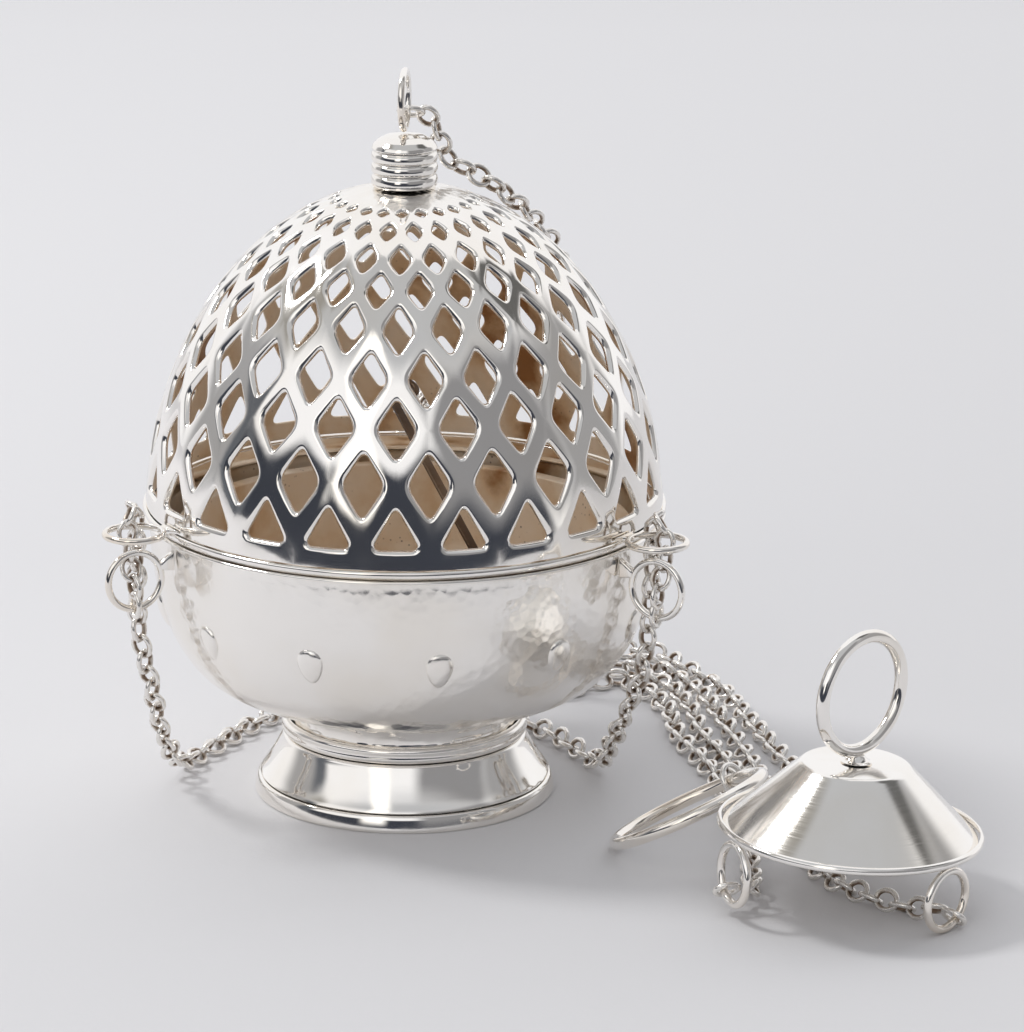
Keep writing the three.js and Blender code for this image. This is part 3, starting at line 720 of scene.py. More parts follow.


# Chains: listed points from the censer's axis, from the bowl or finial to the hand-piece.
# Points without a height lie on the floor.
LYING_HEIGHT = 2.6
ROUTES = {
    "left": (
        (-71.9, -37.6, 68.6), (-72.6, -36.4, 72), (-73.5, -34.6, 76.5), (-73.6, -34.4, 83),
        (-73.4, -33.4, 86.2), (-72.8, -31.2, 87.8), (-72.1, -28.6, 87.6), (-71.7, -26.7, 85.6),
        (-71.6, -26.2, 82), (-71.9, -26, 70), (-72, -26, 58.3), (-70.6, -25, 47),
        (-68.9, -22, 37.5), (-66.8, -13, 21.7), (-65, -5, 13), (-62.2, 5, 5.6), (-58.5, 17),
        (-52, 30), (-44, 45), (-32, 62), (-20, 78), (-8, 92), (12, 99.5), (26, 100), (40, 100.5),
        (60, 105.5), (70, 105), (76, 97), (82, 85), (86, 72), (91, 47), (93, 34.5), (95, 22),
        (98, 0), (100, -15), (102, -30), (104, -45), (106, -60), (111, -82), (121, -97),
        (131, -105.4, 2.8), (136.6, -109.2, 4),
    ),
    "right": (
        (67, -45.9, 68.6), (67.7, -44.9, 72), (68.9, -43.1, 76.5), (69, -42.9, 83),
        (68.6, -41.8, 86.2), (67.6, -39.6, 87.8), (66.6, -37.2, 87.6), (66.1, -35.4, 85.6),
        (66, -34.9, 82), (65.9, -34.7, 70), (65.4, -34.2, 56), (64.1, -32, 45), (62.2, -28, 36.6),
        (59.9, -21, 27.2), (56.8, -10, 16), (54.6, 2, 7), (51.8, 16, 2.7), (46, 28), (39.8, 40),
        (31, 50), (27, 60), (33, 69), (44, 75.5), (54, 84), (61, 88), (66, 85.5), (70, 78),
        (75.5, 58), (77.5, 35), (82, 18), (86, 0), (88, -20), (90.5, -40), (91.5, -60), (91, -78),
        (90.5, -90, 3.2), (89.5, -99.5, 5.6),
    ),
    "back": (
        (3.4, 81.2, 68.6), (4.6, 81.3, 72), (6.7, 81.4, 76.5), (6.9, 81.4, 83), (6.8, 82.6, 86.2),
        (6.4, 85.6, 87.9), (5.8, 89.8, 87.9), (5.3, 92.4, 85.6), (5.1, 93.2, 82), (5, 95, 66),
        (4.9, 98, 48), (4.6, 102, 31), (3.8, 107, 16), (0, 113, 6), (-10, 119), (-24, 117),
        (-34, 124), (-30, 134), (-10, 136), (5, 132), (20, 128), (35, 123), (50, 118), (68, 115.5),
        (76.5, 110), (81, 100), (88, 88), (93, 76), (95.5, 63), (98, 50), (103, 27), (108, 5),
        (113, -15), (119, -36), (125, -50, 2.8), (127.7, -57, 3.8),
    ),
    "centre": (
        (6.2, 7.3, 187), (8.4, 9.2, 183.6), (9.7, 10.9, 179.2), (10.6, 12, 176),
        (13.4, 12.9, 173.2), (17.6, 13.2, 170.8), (22, 13.8, 168.2), (26.2, 15.2, 164.9),
        (30.6, 18.8, 160.6), (34.8, 24.4, 155.2), (39, 29.4, 149), (42.4, 35.4, 141),
        (43, 44.4, 130.2), (42.6, 51.9, 118.8), (41, 58.4, 104), (40, 64.6, 90), (40, 68, 75),
        (40.6, 72, 52), (41.4, 76, 30), (41, 80, 12), (36, 83.5, 3.6), (24, 84), (12, 81),
        (5, 81.5), (4.5, 88.3), (14, 91.5), (27, 92.2), (40, 93), (60, 97.5), (67, 96), (72, 88),
        (77, 80), (79.5, 69), (82, 58), (84.5, 35), (88.5, 18), (92.5, 0), (95, -14, 3.4),
        (94.6, -23, 7.6), (92.6, -29.6, 12.4),
    ),
}


def smooth_line(points, steps=16):
    """Points on a centripetal Catmull-Rom curve through the given ones."""
    knots = [Vector((*point, LYING_HEIGHT)[:3]) for point in points]
    first = knots[0] * 2 - knots[1]
    last = knots[-1] * 2 - knots[-2]
    knots = [first, *knots, last]
    line = []
    for i in range(len(knots) - 3):
        p = knots[i : i + 4]
        spans = [max((p[k + 1] - p[k]).length ** 0.5, 1e-4) for k in range(3)]
        t = [0.0, spans[0], spans[0] + spans[1], sum(spans)]
        for step in range(steps):
            u = t[1] + (t[2] - t[1]) * step / steps
            a = [p[k].lerp(p[k + 1], (u - t[k]) / (t[k + 1] - t[k])) for k in range(3)]
            b = [a[k].lerp(a[k + 1], (u - t[k]) / (t[k + 2] - t[k])) for k in range(2)]
            line.append(b[0].lerp(b[1], (u - t[1]) / (t[2] - t[1])))
    line.append(knots[-2])
    return line


def lengths_along(line):
    along = [0.0]
    for a, b in zip(line, line[1:]):
        along.append(along[-1] + (b - a).length)
    return along


def link_places(line):
    """Evenly spaced (middle, way along) pairs, about a link's pitch apart."""
    along = lengths_along(line)
    count = round(along[-1] / LINK_PITCH)
    flat = np.array([tuple(point) for point in line])

    def spot(distance):
        return Vector([float(np.interp(distance, along, flat[:, k])) for k in range(3)])

    places = []
    for i in range(count + 1):
        distance = along[-1] * i / count
        way = spot(min(distance + 1.8, along[-1])) - spot(max(distance - 1.8, 0.0))
        places.append((spot(distance), way.normalized()))
    return places


# How far a link turns, tips and moves about its place, in radians and millimetres
SETTLING = 0.18
SWAY = 0.3
ROLL = 0.1
LEAN = 0.07
PLAY = 0.12


def settled_side(side, way, sway):
    """Turns a link's side a little towards lying at 45 degrees to the floor, give or take."""
    level = UP.cross(way)
    if level.length < 0.7:
        return side
    level.normalize()
    rise = way.cross(level)
    angle = atan2(side.dot(rise), side.dot(level))
    quarter = pi / 2
    target = (floor(angle / quarter) + 0.5) * quarter + sway
    step = max(-SETTLING, min(SETTLING, target - angle))
    return level * cos(angle + step) + rise * sin(angle + step)


LINK_AROUND = 16
LINK_ACROSS = 8

# One oval link and the painted shade on its points: darkest on the inner side of the wire, facing the link's hole, and
# none on the outside
link_stretch = LINK_HALF_LENGTH / LINK_HALF_WIDTH
link_parts = wire_ring_parts(LINK_HALF_WIDTH, LINK_WIRE, LINK_AROUND, LINK_ACROSS, link_stretch)
link_turns = [2 * pi * i / LINK_ACROSS for i in range(LINK_ACROSS) for _ in range(LINK_AROUND)]
link_painted_shading = [0.5 + 0.5 * cos(turn) for turn in link_turns]


# Stores the painted shade of each point of a piece, from 0 for shaded to 1 for lit.
def add_painted_shading(piece, painted_shading):
    attribute = piece.data.attributes.new("painted_shading", "FLOAT", "POINT")
    attribute.data.foreach_set("value", painted_shading)


def rested(points, middle):
    """A link near the floor, raised or lowered a little until it rests on it."""
    lowest = min(point.z for point in points)
    if lowest > 0 and middle.z > 2.9:
        return points
    return [point + UP * max(0.04 - lowest, -0.5) for point in points]


def chain_piece(name, places, sides):
    """A run of links, each turned a quarter from the last, with a little play."""
    draw = random.Random(name)
    links = []
    for (middle, way), side in zip(places, sides):
        play = Vector([draw.uniform(-PLAY, PLAY) for _ in range(3)])
        lean = Vector([draw.uniform(-LEAN, LEAN) for _ in range(3)])
        lean_way = (way + lean).normalized()
        square = (side - lean_way * side.dot(lean_way)).normalized()
        square.rotate(Matrix.Rotation(draw.uniform(-ROLL, ROLL), 3, lean_way))
        flat = square.cross(lean_way).normalized()
        points, faces = laid(link_parts, middle + play, lean_way, flat, square)
        links.append((rested(points, middle), faces))
    piece = new_piece(name, *together(*links), loose_place, [link_silver])
    add_painted_shading(piece, link_painted_shading * len(links))
    return piece


def link_sides(places, first_side):
    """The way across each link: carried along the chain and turned a quarter each time."""
    sides = []
    side = first_side
    for i, (_, way) in enumerate(places):
        side = (side - way * side.dot(way)).normalized()
        side = settled_side(side, way, SWAY * sin(0.37 * i))
        sides.append(side if i % 2 == 0 else way.cross(side).normalized())
    return sides


def in_row(point):
    return loose_place @ Vector(point)


# Each chain is cut where it leaves the cover and where it reaches the floor, so that each run can
# follow what carries it.
OVER_THE_RINGS = 74.0
ON_THE_FLOOR = 6.0

# Heights and lengths over which a run passes from the motion of one body to that of another
FALL_FOOT = 3.0
RINGS_LOW = 66.0
RINGS_HIGH = 84.0
CENTRE_HIGH = 140.0
HAND_LENGTH = 130.0
LIFT_LENGTH = 110.0


def cut_at(places, heights):
    """Indices where the chain, past its highest place, first drops below each height."""
    cuts = []
    top = max(range(len(places)), key=lambda i: places[i][0].z)
    for height in heights:
        cuts.append(next(i for i in range(top, len(places)) if places[i][0].z < height))
    return cuts


def declare(piece, places, node, lay):
    line = [in_row(middle) for middle, _ in places]
    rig.cord(
        piece,
        exit=line[0],
        length=lengths_along(line)[-1],
        diameter=CHAIN_WIDTH * MM,
        far_end="object",
        stiffness="limp",
        lay=lay,
        path=line,
    )
    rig.replaces(piece, node)
    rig.slot(piece, "chain_silver")


def make_chain(side, first_side, high, far_body, far_length, has_guide=True):
    """The runs of one chain. All follow the cover above, and the last one the far body."""
    places = link_places(smooth_line(ROUTES[side]))
    sides = link_sides(places, first_side)
    heights = (OVER_THE_RINGS, ON_THE_FLOOR) if has_guide else (ON_THE_FLOOR,)
    cuts = [0, *cut_at(places, heights), len(places)]
    names = ("guide", "fall", "floor") if has_guide else ("fall", "floor")
    runs = []
    for name, start, end in zip(names, cuts, cuts[1:]):
        run = chain_piece(f"chain_{side}_{name}", places[start:end], sides[start:end])
        lay = "loose" if name == "floor" else "hanging"
        declare(run, places[start:end], f"chain_{side}", lay)
        runs.append(run)
    foot, low, top = (in_row((0, 0, height)) for height in (FALL_FOOT, RINGS_LOW, high))
    if has_guide:
        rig.blend(runs[0], "censer_base", "cover", start=low, end=top)
    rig.blend(runs[-2], "censer_base", "cover", start=foot, end=top)
    far_end = in_row(ROUTES[side][-1])
    far_start = far_end + Vector((0, far_length * MM, 0))
    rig.blend(runs[-1], "censer_base", far_body, start=far_start, end=far_end)


for side, angle in SIDES.items():
    first_side = around(angle + CENSER_TURN, 1.0)
    make_chain(side, first_side, RINGS_HIGH, "hand_piece", HAND_LENGTH)
first_side = Vector((0.2, 1, 0.3))
make_chain("centre", first_side, CENTRE_HIGH, "lift", LIFT_LENGTH, has_guide=False)


# What most pieces have in common
def stands_for(piece, node, slot, body):
    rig.replaces(piece, node)
    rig.slot(piece, slot)
    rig.ride(piece, body)


def make_piece(name, parts, look, body, node, sharp=None):
    """A piece of one look that stands in for a CAD node and rides on a body."""
    piece = new_piece(name, *parts, place_of(body), [look], sharp=sharp)
    stands_for(piece, node, "tarnished_silver" if look in (tan, brown) else "silver", body)
    return piece


def turned_piece(name, outline, segments, look, body, node, radius, sharp=50):
    parts = turned_parts(softened(outline, radius), segments)
    return make_piece(name, parts, look, body, node, sharp)


# Bowl
def bowl_radius_at(height):
    share = min(max((SEAM - height) / BOWL_DEPTH, 0.0), 1.0)
    return BOWL_RADIUS * (1 - share**BOWL_FALL) ** (1 / BOWL_FULLNESS)


def bowl_profile(radius, depth, steps):
    points = [(0.0, SEAM - depth)]
    for i in range(steps - 1, -1, -1):
        t = i / steps * pi / 2
        down = max(depth * sin(t) ** (2 / BOWL_FALL), END_GAP)
        line = LINE_DEPTH * exp(-(((down - BOWL_LINE) / LINE_WIDTH) ** 2))
        points.append((radius * cos(t) ** (2 / BOWL_FULLNESS) - line, SEAM - down))
    return points


def boss_parts(angle):
    """A raised teardrop, wide above and narrow below, with a crisp edge."""
    rows, columns = 12, 40
    points = []
    for i in range(rows):
        share = i / (rows - 1)
        swell = sqrt(max(0.0, 1 - share**2)) ** 0.85
        for j in range(columns):
            turn = 2 * pi * j / columns
            across = share * sin(turn)
            along = share * cos(turn)
            width = BOSS_HALF_WIDTH * (1 + 0.24 * along) * across
            tip = 0.5 * min(along, 0) * share
            height = BOSS_HEIGHT + BOSS_HALF_LENGTH * along + tip
            out = bowl_radius_at(height) + BOSS_RISE * swell - BOSS_SINK
            points.append((width, -sqrt(max(out**2 - width**2, 0.0)), height))
    return moved((points, grid_faces(rows, columns)), about_z(angle))


def make_bowl():
    segments = 384
    outside = bowl_profile(BOWL_RADIUS, BOWL_DEPTH, 96)
    inside = bowl_profile(BOWL_RADIUS - BOWL_WALL, BOWL_DEPTH - BOWL_WALL, 16)
    parts = turned_parts([*outside, *reversed(inside)], segments)
    lip_row = len(outside) - 1
    looks = [0 if face[0] // segments < lip_row else 1 for face in parts[1]]
    bosses = [boss_parts(BOSS_PHASE + 360 / BOSS_COUNT * i) for i in range(BOSS_COUNT)]
    points, faces = together(parts, *bosses)
    looks += [0] * (len(faces) - len(looks))
    bowl = new_piece("bowl_shell", points, faces, censer_place, [hammered, tan], looks)

    def on_side(spot):
        reach, height = reach_and_height(spot)
        return height < SEAM - HAMMERED_FROM and abs(reach - bowl_radius_at(height)) < 0.25

    hammer(bowl, spacing=0.0036, depth=0.00005, seed=3, chosen=on_side)
    stands_for(bowl, "bowl", "silver", "censer_base")


def make_rim_wire():
    inside = BOWL_RADIUS + END_GAP
    outline = [(inside, SEAM - 1.9), (inside, SEAM - END_GAP)]
    for k in range(9):
        turn = pi / 2 - pi * k / 8
        outline.append((inside + 1.35 * cos(turn), SEAM - 1.1 + 0.72 * sin(turn)))
    turned_piece("bowl_lip_wire", outline, 240, polished, "censer_base", "bowl_rim_wire", 0.1)


def make_foot():
    foot_start = FOOT_BAND + END_GAP
    cone = [(38.6, foot_start), (40.0, foot_start), (38.4, 7.2), (36.5, 10.2), (35.0, 12.8)]
    cone += [(33.9, 15.0), (33.3, 16.7), (31.6, 16.9), (31.3, 22.0), (31.3, 23.1), (31.5, 24.2)]
    cone += [(31.9, 25.3), (32.4, 26.2), (33.1, 27.0), (33.4, FOOT_TOP)]
    cone += [(30.2, FOOT_TOP), (30.2, 16.4), (34.7, 10.2)]
    foot = turned_piece("spun_foot", cone, 300, polished, "censer_base", "foot", 1.6)

    def on_flange(spot):
        reach, height = reach_and_height(spot)
        return height > 21.8 and reach > 31

    hammer(foot, spacing=0.0032, depth=0.0002, seed=5, chosen=on_flange)
    band = [(-3.6, 0), (-0.4, 0), (0, 0.6), (-0.7, FOOT_BAND - 0.9)]
    band += [(-1.3, FOOT_BAND), (-3.6, FOOT_BAND)]
    band = [(FOOT_RADIUS + out, height) for out, height in band]
    turned_piece("foot_ring_band", band, 200, polished, "censer_base", "foot_base_band", 0.5)
    moulding = [(32.0, 17.1), (33.2, 17.1), (33.9, 18.2), (33.6, 19.3)]
    moulding += [(33.9, 20.4), (33.2, 21.5), (32.0, 21.6)]
    turned_piece("foot_double_bead", moulding, 200, polished, "censer_base", "foot_moulding", 0.6)


make_bowl()
make_rim_wire()
make_foot()


# Cover
def cover_line():
    """Arc length, radius and rise along the cover's outside, from the seam up."""
    t = np.linspace(0, pi / 2, 3001)
    rise = COVER_HEIGHT * np.sin(t)
    share = np.minimum(rise / COVER_HEIGHT, 1) ** COVER_CURVE
    radius = COVER_RADIUS * np.sqrt(np.maximum(1 - share, 0))
    steps = np.hypot(np.diff(radius), np.diff(rise))
    return np.concatenate([[0], np.cumsum(steps)]), radius, rise


cover_arc, cover_radius, cover_rise = cover_line()


def cover_point(arc, angle, depth):
    """A point of the cover's wavy wall at an arc length and angle, under its outside."""
    depth += WAVE_DEPTH * noise.noise(around(angle, WAVE_SCALE * COVER_RADIUS, WAVE_SCALE * arc))
    radius = np.interp(arc, cover_arc, cover_radius)
    rise = np.interp(arc, cover_arc, cover_rise)
    ahead = np.interp(arc + 0.2, cover_arc, cover_radius)
    ahead_rise = np.interp(arc + 0.2, cover_arc, cover_rise)
    out = Vector((ahead_rise - rise, radius - ahead)).normalized()
    return around(angle, radius - out.x * depth, SEAM + rise - out.y * depth)


# The share of a lozenge's side that is rounded, which grows from the fourth row up
CORNER_SHARE = 0.24
CORNER_GROWTH = 0.042

# Where the points of a cell's side lie along it, and the rounded section of the bars as
# (distance from the opening's edge, depth under the outside)
SIDE_STEPS = (0.0, 0.07, 0.14, 0.24, 0.5, 0.76, 0.86, 0.93)
OUTSIDE_STEPS = ((1.5, 0.0), (1.1, 0.04), (0.8, 0.15), (0.45, 0.42), (0.18, 0.74))
EDGE_DEPTHS = (1.05, 1.3)
INSIDE_STEPS = ((0.15, 1.62), (0.5, COVER_WALL))


def rounded_side(before, start, end, after, share, steps):
    """Points from one corner of an outline to the next, with both corners rounded."""
    made = []
    for t in steps:
        if t < share:
            u = 0.5 + 0.5 * t / share
            made.append(bend(start.lerp(before, share), start, start.lerp(end, share), u))
        elif t > 1 - share:
            u = 0.5 * (t - (1 - share)) / share
            made.append(bend(end.lerp(start, share), end, end.lerp(after, share), u))
        else:
            made.append(start.lerp(end, t))
    return made


def straight_side(start, end, steps):
    return [start.lerp(end, t) for t in steps]


def lattice_cells():
    """For each opening: the outline of the metal round it and its own, both as (arc, angle)
    points, and whether it is one of the top row."""
    pitch = 360 / OPENINGS
    half = OPENING_SHARE * pitch / 2
    tops = [TRIANGLE_TOP] + [m + h for m, h in zip(LOZENGE_MIDDLES, LOZENGE_HALVES)]
    bottoms = [TRIANGLE_FOOT] + [m - h for m, h in zip(LOZENGE_MIDDLES, LOZENGE_HALVES)]
    last = len(LOZENGE_MIDDLES)
    joints = [(TRIANGLE_FOOT * 2 + bottoms[1]) / 3]
    joints += [(tops[r - 1] + bottoms[r + 1]) / 2 for r in range(1, last)]
    joints += [(tops[last - 1] + CROWN_ARC) / 2, (tops[last] + CROWN_ARC) / 2]
    cells = []
    for row in range(last + 1):
        for column in range(OPENINGS):
            middle = OPENING_PHASE + (column + (row % 2) / 2) * pitch
            left = Vector((joints[row], middle - pitch / 2))
            right = Vector((joints[row], middle + pitch / 2))
            top = Vector((joints[row + 1], middle))
            if row == 0:
                cells.append(triangle_cell(middle, half, left, right, top, pitch))
                continue
            bottom = Vector((joints[row - 1], middle))
            corners = [left, bottom, right, top]
            arc = LOZENGE_MIDDLES[row - 1]
            level = [Vector((arc, middle - half)), Vector((arc, middle + half))]
            hole = [level[0], Vector((bottoms[row], middle)), level[1], Vector((tops[row], middle))]
            share = CORNER_SHARE + CORNER_GROWTH * max(0, row - 3)
            outer = []
            inner = []
            for k in range(4):
                a, b = corners[k], corners[(k + 1) % 4]
                outer += straight_side(a, b, SIDE_STEPS)
                four = [hole[(k - 1) % 4], hole[k], hole[(k + 1) % 4], hole[(k + 2) % 4]]
                inner += rounded_side(*four, share, SIDE_STEPS)
            cells.append((outer, inner, row == last))
    return cells


def triangle_cell(middle, half, left, right, top, pitch):
    """The bottom row: a triangle with the band of metal that stands on the lip below it."""
    reach = half * TRIANGLE_WIDENING
    foot_left = Vector((COVER_START, middle - pitch / 2))
    foot_right = Vector((COVER_START, middle + pitch / 2))
    a = Vector((TRIANGLE_FOOT, middle - reach))
    b = Vector((TRIANGLE_FOOT, middle + reach))
    c = Vector((TRIANGLE_TOP, middle))
    corner = 0.1
    level = [corner + (1 - 2 * corner) * t for t in SIDE_STEPS]
    rise = [corner + (1 - corner) * t for t in SIDE_STEPS]
    fall = [(1 - corner) * t for t in SIDE_STEPS]
    halves = (0.0, 0.5)
    rest = (1 - corner, 1.0)
    outer = []
    inner = []
    for start, end, steps, hole, hole_steps in (
        (foot_left, foot_right, SIDE_STEPS, (c, a, b, c), level),
        (foot_right, right, halves, (c, a, b, c), rest),
        (right, top, SIDE_STEPS, (a, b, c, a), rise),
        (top, left, SIDE_STEPS, (b, c, a, b), fall),
        (left, foot_left, halves, (b, c, a, b), rest),
    ):
        outer += straight_side(start, end, steps)
        inner += rounded_side(*hole, 0.2, hole_steps)
    return outer, inner, False


def make_cover():
    points = []
    faces = []
    looks = []

    def ring_of(outline, depth):
        first = len(points)
        points.extend(cover_point(arc, angle, depth) for arc, angle in outline)
        return range(first, len(points))

    def strip(lower, upper, look, closed=True):
        count = len(lower)
        for j in range(count if closed else count - 1):
            k = (j + 1) % count
            faces.append((lower[j], lower[k], upper[k], upper[j]))
            looks.append(look)

    def add_bars(outer, inner):
        """The metal round one opening: its outside, the opening's edge and its inside."""
        pairs = list(zip(inner, outer))
        widths = [(cover_point(*edge, 0) - cover_point(*rim, 0)).length for rim, edge in pairs]
        fit = min(1.0, 0.85 * min(widths) / OUTSIDE_STEPS[0][0])

        def rings(steps):
            for distance, depth in steps:
                shares = [min(fit * distance / width, 0.9) for width in widths]
                between = [rim.lerp(edge, share) for (rim, edge), share in zip(pairs, shares)]
                yield ring_of(between, depth)

        rows = [ring_of(outer, 0.0), *rings(OUTSIDE_STEPS)]
        rows += [ring_of(inner, depth) for depth in EDGE_DEPTHS]
        inside_from = len(rows) - 1
        rows += [*rings(INSIDE_STEPS), ring_of(outer, COVER_WALL)]
        for i in range(len(rows) - 1):
            strip(rows[i], rows[i + 1], 1 if i >= inside_from else 0)

    def add_crown(edge_line):
        """The plain metal between a top opening and the hole for the finial's screw."""
        hub_arc = float(np.interp(-CROWN_HOLE, -cover_radius, cover_arc))
        hub = []
        for depth, look in ((0.0, 2), (COVER_WALL, 1)):
            rows = [ring_of(edge_line, depth)]
            for arc in (CROWN_ARC, (CROWN_ARC + hub_arc) / 2, hub_arc):
                rows.append(ring_of([Vector((arc, edge.y)) for edge in edge_line], depth))
            for lower, upper in zip(rows, rows[1:]):
                strip(lower, upper, look, closed=False)
            hub.append(rows[-1])
        strip(*hub, 0, closed=False)

    for outer, inner, is_top in lattice_cells():
        add_bars(outer, inner)
        if is_top:
            add_crown([*outer[2 * len(SIDE_STEPS) :], outer[0]])
    pitch = 360 / OPENINGS
    angles = [OPENING_PHASE + pitch * (k + t - 0.5) for k in range(OPENINGS) for t in SIDE_STEPS]
    foot = [Vector((COVER_START, angle)) for angle in angles]
    strip(ring_of(foot, 0.0), ring_of(foot, COVER_WALL), 0)
    skins = [polished, tan, hammered]
    cover = new_piece("pierced_cover", points, faces, censer_place, skins, looks, sharp=60)
    stands_for(cover, "cover_dome", "silver", "cover")


def make_cover_rim():
    outline = [(66.4, -3), (67.6, -3), (67.6, 0), (70.9, 0)]
    outline += [(71.3, 0.5), (71.3, 1.4), (70.9, 1.85), (66.4, 1.85)]
    turned_piece("cover_lip", raised(outline, SEAM + 0.1), 240, polished, "cover", "cover_rim", 0.4)


make_cover()
make_cover_rim()


# Guide rings, bowl rings and their end links
def guide_ring_parts():
    start = RING_REACH - COVER_RADIUS - END_GAP
    end = RING_RADIUS - 0.5
    outline = [(-4.6, start), (-2.6, (start + end) / 2 + 0.5), (-1.6, end), (1.6, end)]
    outline += [(2.6, (start + end) / 2 + 0.5), (4.6, start)]
    tab = bar_parts(outline, 1.2, 0.3)
    ring = wire_ring_parts(RING_RADIUS, RING_WIRE)
    return moved(together(ring, tab), shift(0, -RING_REACH, GUIDE_HEIGHT))


def bowl_ring_parts():
    inside = RING_REACH - BOWL_RADIUS - END_GAP
    outside = RING_RADIUS - 0.5
    lug = bar_parts([(inside, 7), (inside, 1.5), (outside, 2.2), (outside, 4.2)], 2.2, 0.5)
    ring = wire_ring_parts(RING_RADIUS, RING_WIRE)
    return moved(together(ring, lug), upright(Vector((0, -RING_REACH, BOWL_RING_HEIGHT)), 90))


def end_link_piece(name, on_wire, wire_way, pull, wire, body, node, radius=2.5, stretch=1.3):
    """The first or last link of a chain, round the wire of the ring that it hangs on."""
    across = wire_way.cross(pull).normalized()
    along = across.cross(wire_way).normalized()
    link_wire = 0.75
    middle = on_wire + along * ((radius - link_wire) * stretch - wire - END_GAP)
    ring = wire_ring_parts(radius, link_wire, 24, 10, stretch)
    parts = laid(ring, middle, along, across, wire_way.normalized())
    piece = new_piece(name, *parts, place_of(body), [link_silver])
    # An even level of painted shade for the end link, nearly as bright as a link's outside.
    add_painted_shading(piece, [0.72] * len(piece.data.vertices))
    stands_for(piece, node, "silver" if node == "lift_link" else "chain_silver", body)


for side, angle in SIDES.items():
    turn = about_z(angle)
    guide = moved(guide_ring_parts(), turn)
    make_piece(f"cover_guide_{side}", guide, wire_silver, "cover", f"guide_ring_{side}", sharp=50)
    hanger = moved(bowl_ring_parts(), turn)
    name = f"bowl_hanger_{side}"
    make_piece(name, hanger, wire_silver, "censer_base", f"bowl_ring_{side}", sharp=50)
    on_wire = around(angle, RING_REACH, BOWL_RING_HEIGHT - RING_RADIUS)
    hang = (on_wire, around(angle, 1.0), UP, RING_WIRE)
    end_link_piece(f"hanger_link_{side}", *hang, "censer_base", f"bowl_link_{side}")


# Finial
def make_finial():
    outline = [(0, -6.4), (2, -6.4), (2, 0), (5.5, -0.15), (8.5, -0.55), (8.9, 0)]
    for groove in (2.8, 6.0, 9.1):
        for inward, rise in ((0, -1.5), (0.2, -0.6), (0.65, -0.15), (0.65, 0.05), (0.2, 0.5)):
            outline.append((FINIAL_RADIUS - inward, groove + rise))
    outline += [(8.85, 9.9), (8.45, 10.8), (7.2, 12.0), (5.2, 13.0)]
    outline = raised(outline, FINIAL_FOOT)
    outline += [(2.8, FINIAL_TOP - 0.3), (0, FINIAL_TOP)]
    turned_piece("ribbed_finial", outline, 128, polished, "cover", "finial", 0.3)
    nut = raised([(2.75, 0), (4.8, 0), (4.8, 2.7), (2.75, 2.7)], FINIAL_FOOT - 6.1)
    turned_piece("crown_nut", nut, 6, brown, "cover", "finial_nut", 0.25, sharp=30)
    middle = Vector((0, 0, FINIAL_TOP + END_GAP + RING_RADIUS + RING_WIRE))
    ring = moved(wire_ring_parts(RING_RADIUS, RING_WIRE), upright(middle, FINIAL_RING_TURN))
    make_piece("finial_wire_ring", ring, wire_silver, "cover", "finial_ring")
    hang = hanging_on(middle, around(FINIAL_RING_TURN + 90, 1.0), RING_RADIUS, low=35)
    pull = Vector((1, 0, 0))
    end_link_piece("finial_end_link", *hang, pull, RING_WIRE, "cover", "finial_link")


make_finial()


# Charcoal pan
def make_pan():
    outside = raised([(0, 0), (38, 0), (46.5, 3.6), (53, 11), (57.5, 23)], PAN_FLOOR)
    inside = raised([(56.5, 23), (52.2, 11.6), (46, 4.6), (37.8, 1), (0, 1)], PAN_FLOOR)
    edge = PAN_RADIUS + 2
    rim = raised([(59, -1.4), (edge, -1.4), (edge, 0), (58, 0)], PAN_TOP)
    turned_piece("charcoal_pan", outside + rim + inside, 180, tan, "pan", "coal_pan", 0.6)
    base = bar_parts([(-3, -2.5), (3, -2.5), (3, 2.5), (-3, 2.5)], 0.8, 0.2)
    base = moved(base, shift(0, -PAN_RADIUS + 2, PAN_TOP + END_GAP + 0.4))
    pin = turned_parts(softened([(0, -2.5), (0.6, -2.5), (0.6, 2.5), (0, 2.5)], 0.15), 20)
    pin = moved(pin, shift(0, -PIN_REACH, PIN_HEIGHT) @ SIDEWAYS)
    outline = [(-1.3, -2.2), (1.3, -2.2), (1.3, 1.2), (0.6, 2.2), (-0.6, 2.2), (-1.3, 1.2)]
    ears = []
    for x in (-2.3, 2.3):
        middle = Vector((x, -PIN_REACH, PIN_HEIGHT - 0.9))
        ears.append(moved(bar_parts(outline, 0.9, 0.15), upright(middle, 90)))
    lug = moved(together(base, pin, *ears), about_z(HANDLE_ANGLE))
    make_piece("pan_ears", lug, brown, "pan", "pan_lug", sharp=40)


def make_handle():
    half = 1.2
    low = 1.6
    high = low + HANDLE_LENGTH - FINGER_EYE
    outline = [(-half, low), (half, low), (half, high), (-half, high)]
    strap = moved(bar_parts(outline, 1.1, 0.3), UPRIGHT)
    pin_eye = moved(wire_ring_parts(1.55, 0.55, 28, 10), SIDEWAYS)
    lay = shift(4.4, 0, HANDLE_LENGTH) @ UPRIGHT
    finger_eye = moved(wire_ring_parts(FINGER_EYE, 1.0, 48, 14), lay)
    lean = Matrix.Rotation(-radians(HANDLE_LEAN), 4, "X")
    lay = about_z(HANDLE_ANGLE) @ shift(0, -PIN_REACH, PIN_HEIGHT) @ lean
    parts = moved(together(strap, pin_eye, finger_eye), lay)
    make_piece("pan_strap_handle", parts, brown, "pan_strap", "pan_handle", sharp=40)


make_pan()
make_handle()


